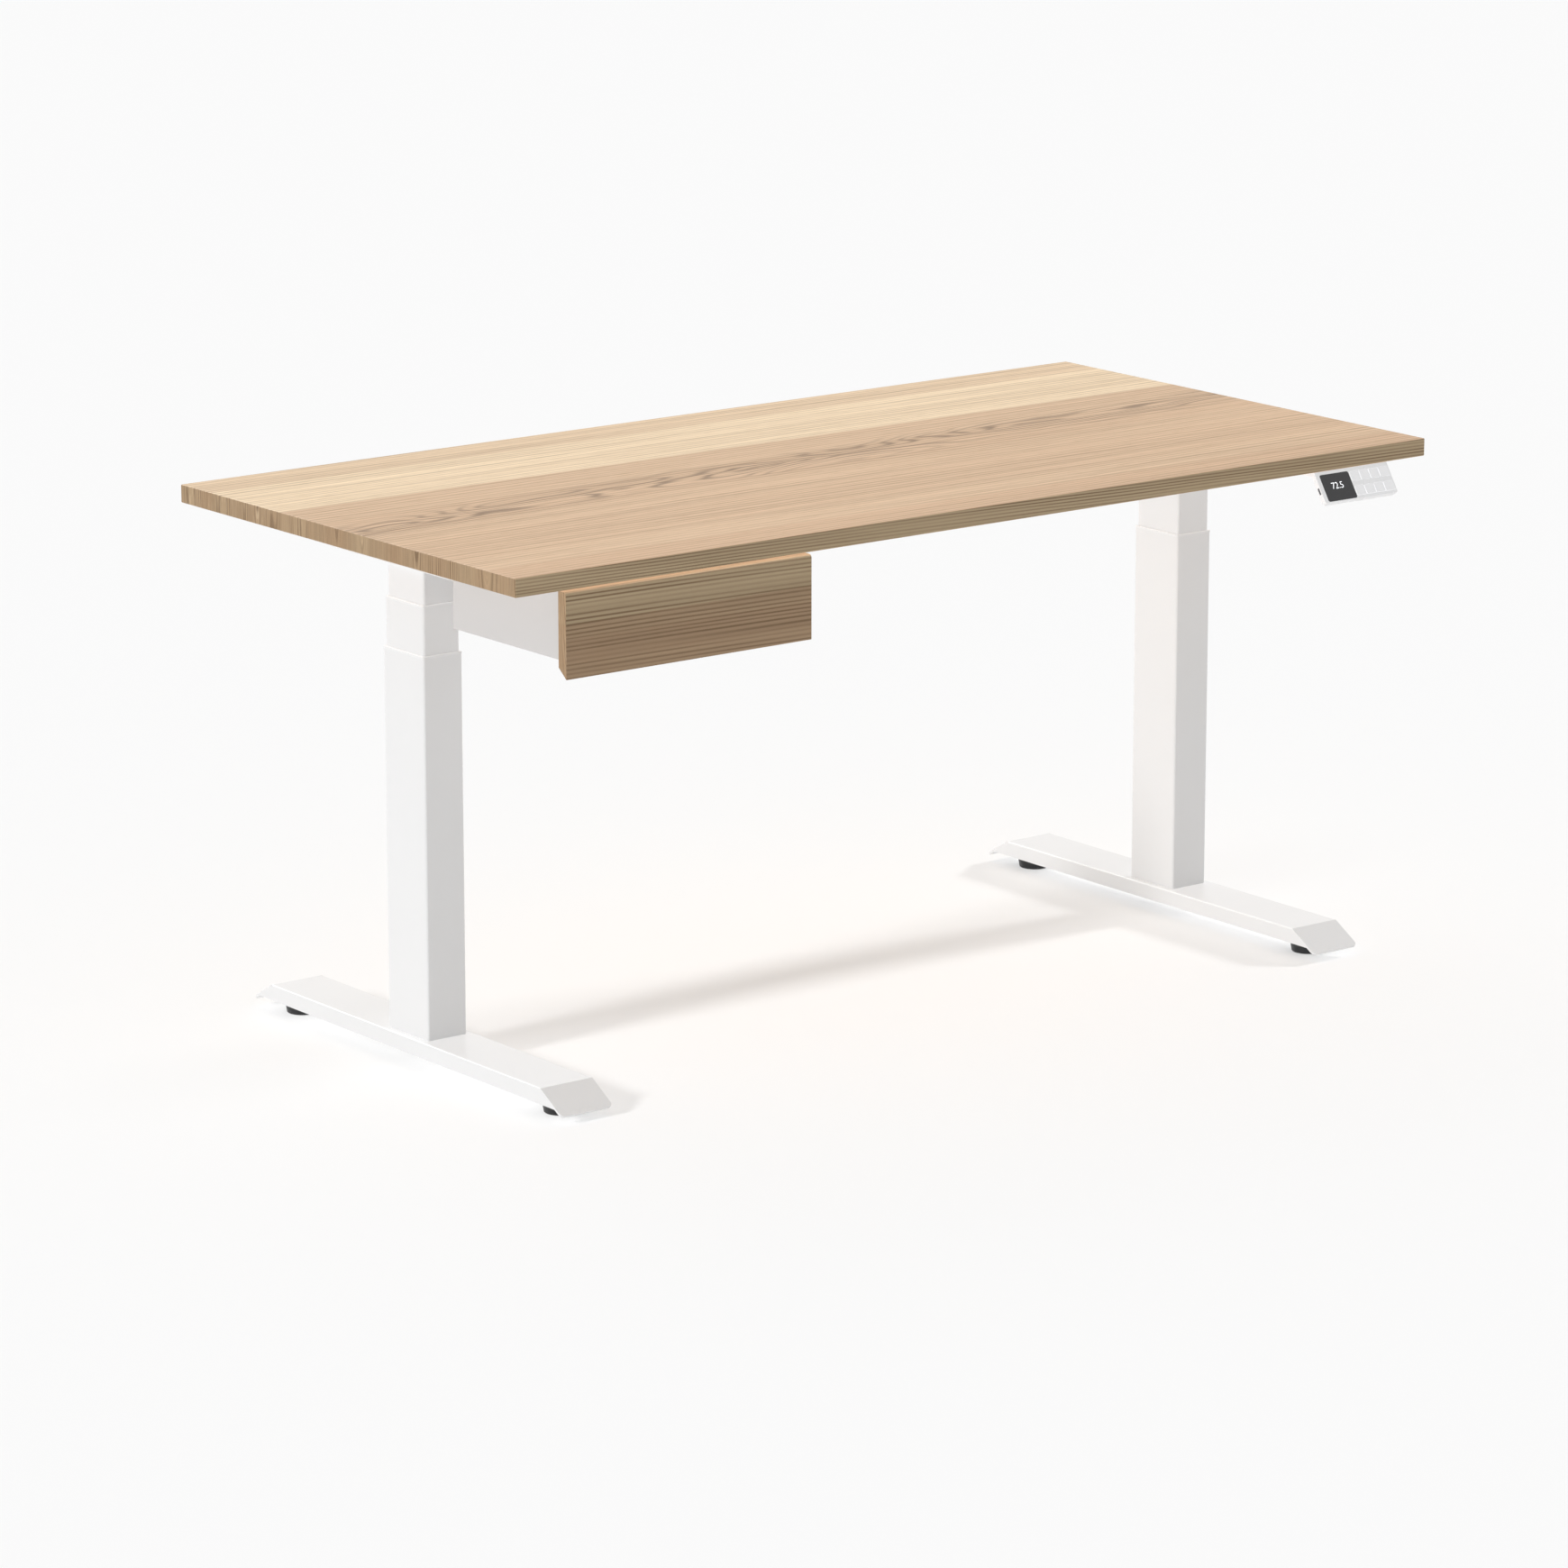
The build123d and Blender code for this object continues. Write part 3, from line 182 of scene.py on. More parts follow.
class DeskStageSettings(bpy.types.PropertyGroup):
    """Camera, lights and floor."""

    camera_place: FloatVectorProperty(
        name="Camera place", description="Where the camera stands", size=3,
        default=(-5.1757, -6.6318, 2.3324), subtype="TRANSLATION", unit="LENGTH",
    )
    camera_turn: angle("Camera turn", "The camera's heading", -37.648)
    camera_tilt: angle("Camera tilt", "How far the camera looks down", 13.746)
    focal_length: FloatProperty(
        name="Lens", description="Focal length in millimetres", default=148.77, min=10.0
    )
    floor: colour("Floor", "Colour of the floor", (0.885, 0.885, 0.885))
    sky: brightness("Sky", "Brightness of the sky", 0.45)
    sky_gloss: brightness("Sky in gloss", "Brightness of the sky in reflections", 0.9)
    end_rise: angle("End rise", "How high the lights at the desk's ends stand", 25.0)
    end_spread: angle("End spread", "How soft the shadows of the end lights are", 9.0)
    left_light: brightness("Left light", "Strength of the left light", 1.367)
    right_light: brightness("Right light", "Strength of the right light", 1.167)
    back_rise: angle("Back rise", "How high the back light stands", 36.9)
    back_light: brightness("Back light", "Strength of the light from behind", 1.54)


# ---- short ways to build shader nodes


class Shader:
    """Places and joins nodes in one node tree."""

    def __init__(self, tree):
        self.tree = tree

    def node(self, kind, inputs=None, **settings):
        """A node of one kind, with its settings, and with values or links on its inputs."""
        node = self.tree.nodes.new(kind)
        for name, value in settings.items():
            setattr(node, name, value)
        for name, value in (inputs or {}).items():
            self.feed(node.inputs[name], value)
        return node

    def feed(self, socket, value):
        """Puts a value on a socket, or joins another node's output to it."""
        if isinstance(value, bpy.types.NodeSocket):
            self.tree.links.new(value, socket)
        else:
            socket.default_value = value

    def math(self, operation, first, second=0.0):
        """One sum on numbers."""
        return self.node("ShaderNodeMath", {0: first, 1: second}, operation=operation).outputs[0]

    def times(self, first, second):
        """Two numbers multiplied."""
        return self.math("MULTIPLY", first, second)

    def plus(self, first, second):
        """Two numbers added."""
        return self.math("ADD", first, second)

    def mix(self, factor, first, second, blend="MIX"):
        """Two colours mixed."""
        node = self.node("ShaderNodeMix", data_type="RGBA", blend_type=blend)
        self.feed(node.inputs["Factor"], factor)
        # a Mix node has a set of sockets for each kind of data: 6, 7 and output 2 are its colours
        self.feed(node.inputs[6], first)
        self.feed(node.inputs[7], second)
        return node.outputs[2]

    def noise(self, vector, scale=1.0, detail=2.0, roughness=0.55):
        """Smooth noise from 0 to 1."""
        sockets = {"Vector": vector, "Scale": scale, "Detail": detail, "Roughness": roughness}
        return self.node("ShaderNodeTexNoise", sockets).outputs["Fac"]

    def scaled(self, vector, scale, location=(0.0, 0.0, 0.0)):
        """A vector stretched along each axis."""
        sockets = {"Vector": vector, "Scale": scale, "Location": location}
        return self.node("ShaderNodeMapping", sockets).outputs["Vector"]

    def vector(self, x, y, z):
        """Three numbers as a vector."""
        return self.node("ShaderNodeCombineXYZ", {"X": x, "Y": y, "Z": z}).outputs[0]

    def parts(self, vector):
        """A vector's three numbers."""
        return self.node("ShaderNodeSeparateXYZ", {0: vector}).outputs

    def band(self, value, low, high, to_low=0.0, to_high=1.0):
        """A number's range mapped on another, with its ends held."""
        sockets = {
            "Value": value, "From Min": low, "From Max": high, "To Min": to_low, "To Max": to_high
        }
        return self.node("ShaderNodeMapRange", sockets, clamp=True).outputs["Result"]

    def swing(self, noise):
        """Noise moved to lie evenly about nought."""
        return self.math("SUBTRACT", noise, 0.5)

    def steps(self, value, stops):
        """A colour for each stretch of a number from 0 to 1: where it starts, and the colour."""
        node = self.node("ShaderNodeValToRGB", {"Fac": value})
        ramp = node.color_ramp
        ramp.interpolation = "CONSTANT"
        while len(ramp.elements) < len(stops):
            ramp.elements.new(1.0)
        for element, (start, tone) in zip(ramp.elements, stops):
            element.position = start
            element.color = (*tone, 1.0)
        return node.outputs["Color"]

    def bump(self, height, distance):
        """A normal from a height."""
        sockets = {"Height": height, "Distance": distance, "Strength": 1.0}
        return self.node("ShaderNodeBump", sockets).outputs["Normal"]

    def place(self):
        """The point on the piece, in metres."""
        return self.node("ShaderNodeTexCoord").outputs["Object"]


def new_group(name, inputs, outputs):
    """An empty node group: the group, its shader, its inputs and its output node."""
    group = bpy.data.node_groups.new(name, "ShaderNodeTree")
    kinds = {"float": "NodeSocketFloat", "colour": "NodeSocketColor", "vector": "NodeSocketVector"}
    for label, kind in inputs:
        group.interface.new_socket(label, in_out="INPUT", socket_type=kinds[kind])
    for label, kind in outputs:
        group.interface.new_socket(label, in_out="OUTPUT", socket_type=kinds[kind])
    shader = Shader(group)
    given = shader.node("NodeGroupInput").outputs
    return group, shader, given, shader.node("NodeGroupOutput").inputs


def use_group(shader, group, inputs):
    """A group placed in a tree, with its inputs fed."""
    node = shader.node("ShaderNodeGroup", node_tree=group)
    for name, value in inputs.items():
        shader.feed(node.inputs[name], value)
    return node.outputs


def new_material(name):
    """A material, its tree's short ways, and the inputs of its one Principled shader."""
    material = bpy.data.materials.new(name)
    material.use_nodes = True
    inputs = material.node_tree.nodes["Principled BSDF"].inputs
    return material, Shader(material.node_tree), inputs


# ---- shared effects

# what every skin puts out: its colour, what it adds to the roughness, and its height
SKIN_OUTPUTS = [("Color", "colour"), ("Rough", "float"), ("Height", "float")]


def grain_lines_group():
    """Lines that run along a board: the year lines, broad streaks and the pores."""
    # how often each pattern changes in a metre along and across the board
    wander_scale = (1.6, 5.0, 1.0)
    jitter_scale = (1.1, 34.0, 1.0)
    strength_scale = (1.6, 70.0, 1.0)
    streak_scale = (1.1, 60.0, 1.0)
    pore_scale = (38.0, 900.0, 1.0)
    # how far jitter moves a year line, as an angle of its wave
    jitter = 11.0

    inputs = [(name, "float") for name in ("Along", "Across", "Seed", "Pitch", "Wander")]
    outputs = [(name, "float") for name in ("Lines", "Streaks", "Pores")]
    group, s, given, out = new_group("Grain lines", inputs, outputs)
    straight = s.vector(given["Along"], given["Across"], given["Seed"])
    drift = s.swing(s.noise(s.scaled(straight, wander_scale)))
    across = s.plus(given["Across"], s.times(drift, given["Wander"]))
    bent = s.vector(given["Along"], across, given["Seed"])

    turns = s.times(s.math("DIVIDE", across, given["Pitch"]), 2.0 * math.pi)
    wave = s.math("SINE", s.plus(turns, s.times(s.noise(s.scaled(bent, jitter_scale)), jitter)))
    strong = s.band(s.noise(s.scaled(bent, strength_scale)), 0.34, 0.62, to_low=0.25)
    s.feed(out["Lines"], s.times(s.band(wave, -0.35, 0.9), strong))
    streaks = s.noise(s.scaled(bent, streak_scale), detail=4.0, roughness=0.7)
    s.feed(out["Streaks"], s.band(streaks, 0.32, 0.68))
    pores = s.noise(s.scaled(bent, pore_scale), roughness=0.5)
    s.feed(out["Pores"], s.band(pores, 0.54, 0.70))
    return group


def figure_contours(s, place, centre, amount):
    """The figured streak along one board: contours of a long hill about the streak's middle."""
    # how far the streak climbs across the boards in a metre, and how far it swings, in metres
    climb = 0.045
    swing_width = 0.05
    swing_scale = (3.5, 2.0, 1.0)
    # the hill's own shape, and the heights that it and the distance from the middle add
    hill_scale = (2.6, 15.0, 1.0)
    hill_start = (3.1, 0.0, 0.0)
    hill_height = 38.0
    side_height = 240.0
    contours = 2.2
    # where the figure starts to fade and where it ends, in metres from the middle
    fade_start = 0.014
    fade_end = 0.058
    sharpness = 2.2

    x, y, _ = s.parts(place)
    off = s.math("SUBTRACT", s.math("SUBTRACT", y, centre), s.times(x, climb))
    swing = s.times(s.swing(s.noise(s.scaled(place, swing_scale))), swing_width)
    distance = s.math("ABSOLUTE", s.plus(off, swing))
    hill = s.noise(s.scaled(place, hill_scale, hill_start), detail=1.6, roughness=0.45)
    rise = s.plus(s.times(hill, hill_height), s.times(distance, side_height))
    ripple = s.band(s.math("SINE", s.times(rise, contours)), -1.0, 1.0)
    reach = s.band(distance, fade_start, fade_end, 1.0, 0.0)
    return s.times(s.math("POWER", ripple, sharpness), s.times(reach, amount))


def timber_group(lines):
    """Timber on every face: boards along X, lines along the long edges, and end grain."""
    # the spacing of the year lines and how far they wander, in metres
    flat_pitch = 0.0100
    flat_wander = 0.012
    edge_wander = 0.006
    end_pitch = 0.0052
    # a different part of the pattern for each kind of face
    edge_seed = 4.2
    end_seed = 7.7
    # how far the lines of the long edges climb in a metre, and the lean of the end grain's lines
    edge_climb = 0.014
    end_lean = 0.9
    end_lean_scale = (0.0, 9.0, 0.0)
    end_shade_scale = (0.0, 13.0, 0.0)
    # how much rougher the lines and pores are, and how deep the edges' lines are beside the pores
    line_roughness = 0.09
    edge_line_depth = 0.6

    inputs = [(n, "colour") for n in ("Edge colour", "End colour", "Line colour", "Board colour")]
    inputs += [(n, "float") for n in ("Figure centre", "Figure", "Seed", "Edge pitch")]
    group, s, given, out = new_group("Timber", inputs, SKIN_OUTPUTS)
    texture = s.node("ShaderNodeTexCoord").outputs
    place = texture["Object"]
    x, y, z = s.parts(place)
    face = s.parts(texture["Normal"])
    is_end = s.band(s.math("ABSOLUTE", face[0]), 0.6, 0.8)
    is_flat = s.band(s.math("ABSOLUTE", face[2]), 0.6, 0.8)

    def grain(along, across, seed, pitch, wander):
        """The grain lines on one kind of face."""
        sockets = {"Along": along, "Across": across, "Seed": seed, "Pitch": pitch, "Wander": wander}
        return use_group(s, lines, sockets)

    flat = grain(x, y, given["Seed"], flat_pitch, flat_wander)
    edge_across = s.plus(z, s.times(x, edge_climb))
    edge = grain(x, edge_across, edge_seed, given["Edge pitch"], edge_wander)
    lean = s.times(s.swing(s.noise(s.scaled(place, end_lean_scale), detail=1.0)), end_lean)
    end = grain(z, s.plus(y, s.times(z, lean)), end_seed, end_pitch, 0.0)

    def tinted(tone, mask, amount, tint):
        """A tone with a share of another colour under a mask."""
        return s.mix(s.times(mask, amount), tone, tint)

    figure = figure_contours(s, place, given["Figure centre"], given["Figure"])
    board = tinted(given["Board colour"], flat["Streaks"], 0.40, given["End colour"])
    board = tinted(board, flat["Lines"], 0.42, given["Line colour"])
    board = tinted(board, figure, 0.75, given["Line colour"])
    board = tinted(board, flat["Pores"], 0.22, given["Line colour"])

    edge_tone = tinted(given["Edge colour"], edge["Streaks"], 0.35, given["Line colour"])
    edge_tone = tinted(edge_tone, edge["Lines"], 0.86, given["Line colour"])
    edge_tone = tinted(edge_tone, edge["Pores"], 0.2, given["End colour"])

    patches = s.noise(s.scaled(place, end_shade_scale), detail=1.0)
    patches = s.band(patches, 0.35, 0.65, to_high=0.45)
    end_tone = s.mix(patches, given["End colour"], given["Edge colour"])
    end_tone = tinted(end_tone, end["Lines"], 0.80, given["Line colour"])
    end_tone = tinted(end_tone, end["Pores"], 0.3, given["Board colour"])

    s.feed(out["Color"], s.mix(is_end, s.mix(is_flat, edge_tone, board), end_tone))
    s.feed(out["Rough"], s.times(s.plus(flat["Pores"], flat["Lines"]), line_roughness))
    depth = s.plus(s.times(flat["Pores"], is_flat), s.times(edge["Lines"], edge_line_depth))
    s.feed(out["Height"], s.times(depth, -1.0))
    return group


def peel_group():
    """The ripple, the grit and the faint clouding of a sprayed or moulded skin."""
    cloud_scale = 7.0
    grit_scale = 3200.0
    grit_height = 0.25
    shade = (0.86, 0.86, 0.87, 1.0)

    inputs = [("Colour", "colour"), ("Clouding", "float"), ("Ripple size", "float")]
    group, s, given, out = new_group("Peel", inputs, SKIN_OUTPUTS)
    place = s.place()
    ripple = s.noise(place, s.math("DIVIDE", 1.0, given["Ripple size"]), roughness=0.5)
    cloud = s.noise(place, cloud_scale, detail=3.0, roughness=0.6)
    grit = s.noise(place, grit_scale, detail=1.0, roughness=0.5)
    dark = s.mix(1.0, given["Colour"], shade, "MULTIPLY")
    s.feed(out["Color"], s.mix(s.times(cloud, given["Clouding"]), given["Colour"], dark))
    s.feed(out["Rough"], s.band(cloud, 0.2, 0.8, -0.04, 0.05))
    s.feed(out["Height"], s.plus(ripple, s.times(grit, grit_height)))
    return group


def brushed_group():
    """Fine drawn lines and handling marks on bare metal. Stretch is how often the lines change."""
    mark_scale = 60.0
    shade = (0.62, 0.60, 0.57, 1.0)

    inputs = [("Colour", "colour"), ("Stretch", "vector")]
    group, s, given, out = new_group("Brushed", inputs, SKIN_OUTPUTS)
    stretched = s.node(
        "ShaderNodeVectorMath", {0: s.place(), 1: given["Stretch"]}, operation="MULTIPLY"
    ).outputs[0]
    drawn = s.noise(stretched, detail=3.0, roughness=0.65)
    marks = s.noise(s.place(), mark_scale, detail=4.0, roughness=0.6)
    dark = s.mix(1.0, given["Colour"], shade, "MULTIPLY")
    s.feed(out["Color"], s.mix(s.band(marks, 0.45, 0.8, to_high=0.55), given["Colour"], dark))
    s.feed(out["Rough"], s.band(drawn, 0.2, 0.8, -0.07, 0.12))
    s.feed(out["Height"], drawn)
    return group


# ---- finishes


def mixed_tone(first, second, share_of_second):
    """A colour between two, or a little past the second."""
    return tuple(a + (b - a) * share_of_second for a, b in zip(first, second))


def timber_finish(name, settings, groups, node, boards, layers, figure, edge_pitch):
    """Lacquered timber for a node.

    boards run back across its width and layers run up its height. Each starts at a place from 0
    to 1 and has its tone.
    """
    material, s, shader = new_material(name)
    low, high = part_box(node)
    _, y, z = s.parts(s.place())
    timber = use_group(
        s, groups["timber"],
        {
            "Board colour": s.steps(s.band(y, low.y, high.y), boards),
            "Edge colour": s.steps(s.band(z, low.z, high.z), layers),
            "End colour": (*settings.end, 1.0),
            "Line colour": (*settings.line, 1.0),
            "Figure centre": 0.025,
            "Figure": figure,
            "Seed": 1.3,
            "Edge pitch": edge_pitch,
        },
    )
    s.feed(shader["Base Color"], timber["Color"])
    s.feed(shader["Roughness"], s.plus(timber["Rough"], settings.roughness))
    s.feed(shader["Normal"], s.bump(timber["Height"], settings.pore_depth))
    shader["Specular IOR Level"].default_value = 0.3
    return material


def skin_finish(name, group, given, roughness, height):
    """A material whose colour, roughness and height come from one group."""
    material, s, shader = new_material(name)
    skin = use_group(s, group, given)
    s.feed(shader["Base Color"], skin["Color"])
    s.feed(shader["Roughness"], s.plus(skin["Rough"], roughness))
    s.feed(shader["Normal"], s.bump(skin["Height"], height))
    return material, shader


def peel_finish(name, groups, tone, roughness, height, ripple=0.0011, clouding=0.25, coat=0.0):
    """A painted or moulded skin. height and ripple are the ripples' height and size, in metres."""
    given = {"Colour": (*tone, 1.0), "Clouding": clouding, "Ripple size": ripple}
    material, shader = skin_finish(name, groups["peel"], given, roughness, height)
    shader["Coat Weight"].default_value = coat
    shader["Coat Roughness"].default_value = 0.06
    return material


def metal_finish(name, groups, tone, roughness, stretch=(40.0, 40.0, 900.0), height=0.00001):
    """Bare or plated metal. stretch is how often its lines change in a metre, along each axis."""
    given = {"Colour": (*tone, 1.0), "Stretch": stretch}
    material, shader = skin_finish(name, groups["brushed"], given, roughness, height)
    shader["Metallic"].default_value = 1.0
    return material


def glowing_finish(name, groups, tone, strength):
    """A lit mark."""
    material = peel_finish(name, groups, tone, roughness=0.4, height=0.000002)
    shader = material.node_tree.nodes["Principled BSDF"].inputs
    shader["Emission Color"].default_value = (*tone, 1.0)
    shader["Emission Strength"].default_value = strength
    return material


def shared_groups():
    """The node groups that the finishes share, made once."""
    names = {"timber": "Timber", "peel": "Peel", "brushed": "Brushed"}
    if names["timber"] not in bpy.data.node_groups:
        timber_group(grain_lines_group())
        peel_group()
        brushed_group()
    return {key: bpy.data.node_groups[name] for key, name in names.items()}


def dress(material, *nodes):
    """Gives CAD nodes a finish."""
    for name in nodes:
        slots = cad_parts[name].data.materials
        slots.clear()
        slots.append(material)


# ---- mesh pieces


def mesh_piece(name, bm, body, material, replaced=()):
    """A piece made of a bmesh: its finish, its body, and the CAD nodes that it stands for."""
    mesh = bpy.data.meshes.new(name)
    bm.to_mesh(mesh)
    bm.free()
    piece = bpy.data.objects.new(name, mesh)
    bpy.context.scene.collection.objects.link(piece)
    mesh.materials.append(material)
    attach(piece, body)
    if replaced:
        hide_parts(*replaced)
    return piece


def handset_face():
    """The handset's leaning face, from the desktop's edge.

    x runs along the desk, y up the slope and z out of the face.
    """
    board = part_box("desktop")[0]
    return Matrix.Translation((0.0, board.y, board.z)) @ Matrix.Rotation(HANDSET_LEAN, 4, "X")


def span_on_face(name):
    """A node's lowest and highest corners in the handset face's own directions."""
    inwards = handset_face().inverted()
    points = [inwards @ vertex.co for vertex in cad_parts[name].data.vertices]
    return [Vector(corner(point[i] for point in points) for i in range(3)) for corner in (min, max)]


def put_on_face(bm, middle, proud):
    """Moves a flat bmesh to a place on the handset's face, this far out of it."""
    place = handset_face() @ Matrix.Translation((middle[0], middle[1], proud))
    bmesh.ops.transform(bm, matrix=place, verts=bm.verts)
    return bm


def lettering(text, size, middle, proud):
    """Flat digits on the handset's face, as a bmesh. middle is their centre across and up it."""
    # the digits' spacing, and how much thinner than the font they are, as a share of their size
    spacing = 0.94
    thinner = 0.011
    doubles = 1e-6

    curve = bpy.data.curves.new("digits", "FONT")
    curve.body = text
    curve.size = size
    curve.align_x = "CENTER"
    curve.align_y = "CENTER"
    curve.space_character = spacing
    curve.offset = -size * thinner
    writer = bpy.data.objects.new("digits", curve)
    bpy.context.scene.collection.objects.link(writer)
    bpy.context.view_layer.update()
    depsgraph = bpy.context.evaluated_depsgraph_get()
    mesh = bpy.data.meshes.new_from_object(writer.evaluated_get(depsgraph))
    bpy.data.objects.remove(writer)
    bpy.data.curves.remove(curve)
    bm = bmesh.new()
    bm.from_mesh(mesh)
    bpy.data.meshes.remove(mesh)
    bmesh.ops.remove_doubles(bm, verts=bm.verts, dist=doubles)
    return put_on_face(bm, middle, proud)


# ---- operators


class DESK_OT_timber(bpy.types.Operator):
    """Lacquer the desktop and the drawer's front"""

    bl_idname = "desk.timber"
    bl_label = "Timber"

    def execute(self, context):
        settings = context.scene.desk_timber
        groups = shared_groups()
        boards = [
            (start, mixed_tone(settings.pale, settings.warm, warmth)) for start, warmth in BOARDS
        ]
        top = timber_finish(
            "desktop timber", settings, groups, "desktop", boards, [(0.0, settings.edge)],
            figure=1.0, edge_pitch=0.0040,
        )
        upper_edge = [(0.0, mixed_tone(settings.pale, settings.warm, 0.3))]
        layers = [
            (start, mixed_tone(settings.drawer_edge, settings.edge, paleness))
            for start, paleness in DRAWER_LAYERS
        ]
        front = timber_finish(
            "drawer timber", settings, groups, "drawer_front", upper_edge, layers,
            figure=0.0, edge_pitch=0.0056,
        )
        dress(top, "desktop")
        dress(front, "drawer_front")
        return {"FINISHED"}


class DESK_OT_steelwork(bpy.types.Operator):
    """Powder coat the feet, columns, brackets, crossbar and drawer, the drawer's coat darkened as
    painted shade
    """

    bl_idname = "desk.steelwork"
    bl_label = "Steelwork"

    def execute(self, context):
        paint = context.scene.desk_paint
        groups = shared_groups()
        white, drawer = [
            peel_finish(name, groups, tone, paint.roughness, paint.peel, coat=coat)
            for name, tone, coat in (
                ("white powder coat", paint.white, 0.35),
                # the drawer's coat: a light warm grey, darkened further as painted shade for the
                # shade under the desktop
                ("drawer coat and painted shade", paint.drawer_grey_and_shade, 0.2),
            )
        ]
        for side in SIDES:
            stages = [f"{stage}_tube_{side}" for stage in ("outer", "middle", "inner")]
            dress(white, f"foot_{side}", f"side_bracket_{side}", *stages)
        dress(white, "crossbar_rails", "crossbar_ends")
        dress(drawer, "drawer_case", "drawer_tray")
        return {"FINISHED"}


class DESK_OT_plastics(bpy.types.Operator):
    """Finish the collars, glides, nuts, buffers, circuit boards and the control box"""

    bl_idname = "desk.plastics"
    bl_label = "Plastics"

    def execute(self, context):
        groups = shared_groups()
        white = peel_finish("white moulding", groups, (0.82, 0.82, 0.82), 0.3, 0.000004)
        black = peel_finish(
            "black moulding", groups, (0.012, 0.012, 0.013), 0.42, 0.00002, ripple=0.0007
        )
        acetal = peel_finish("acetal", groups, (0.80, 0.77, 0.68), 0.4, 0.000004)
        rubber = peel_finish(
            "buffer rubber", groups, (0.02, 0.02, 0.02), 0.8, 0.00004, ripple=0.0009
        )
        grey = peel_finish("box moulding", groups, (0.74, 0.74, 0.745), 0.5, 0.00003, ripple=0.0006)
        green = peel_finish("solder mask", groups, (0.02, 0.14, 0.05), 0.28, 0.000004)
        dress(white, "outer_collars", "middle_collar_left", "middle_collar_right")
        dress(black, *[f"glide_{place}_{side}" for place in ("front", "back") for side in SIDES])
        dress(black, "control_box_sockets")
        dress(acetal, "lower_nuts", "upper_nut_left", "upper_nut_right")
        dress(rubber, "rubber_buffers")
        dress(grey, "control_box_case", "control_box_lid")
        dress(green, "control_box_board", "handset_board")
        return {"FINISHED"}


class DESK_OT_metals(bpy.types.Operator):
    """Finish the screws, runners, gear units and motors"""

    bl_idname = "desk.metals"
    bl_label = "Metals"

    def execute(self, context):
        groups = shared_groups()
        rolled = (900.0, 40.0, 40.0)
        grainy = (160.0, 160.0, 160.0)
        zinc = metal_finish("zinc plate", groups, (0.58, 0.59, 0.60), 0.32, stretch=rolled)
        black_oxide = metal_finish("black oxide", groups, (0.08, 0.08, 0.085), 0.42)
        steel = metal_finish("bright steel", groups, (0.52, 0.52, 0.53), 0.24)
        bronze = metal_finish("cut bronze", groups, (0.60, 0.38, 0.14), 0.3)
        cast = metal_finish(
            "die casting", groups, (0.50, 0.50, 0.52), 0.5, stretch=grainy, height=0.00006
        )
        enamel = peel_finish("motor enamel", groups, (0.015, 0.015, 0.017), 0.35, 0.00001, coat=0.3)
        plated = metal_finish("plated socket", groups, (0.35, 0.35, 0.36), 0.3)
        dress(zinc, "drawer_runners_fixed", "drawer_runners_middle", "drawer_runners_inner")
        dress(zinc, "desktop_screws", "drawer_screws")
        dress(black_oxide, "foot_bolts", "frame_screws")
        dress(steel, "nut_pillars")
        dress(steel, *[f"{kind}_screw_{side}" for kind in ("hollow", "drive") for side in SIDES])
        dress(bronze, "worm_wheel_left", "worm_wheel_right")
        dress(cast, "gear_housings")
        dress(enamel, "motors")
        dress(plated, "usb_port")
        return {"FINISHED"}


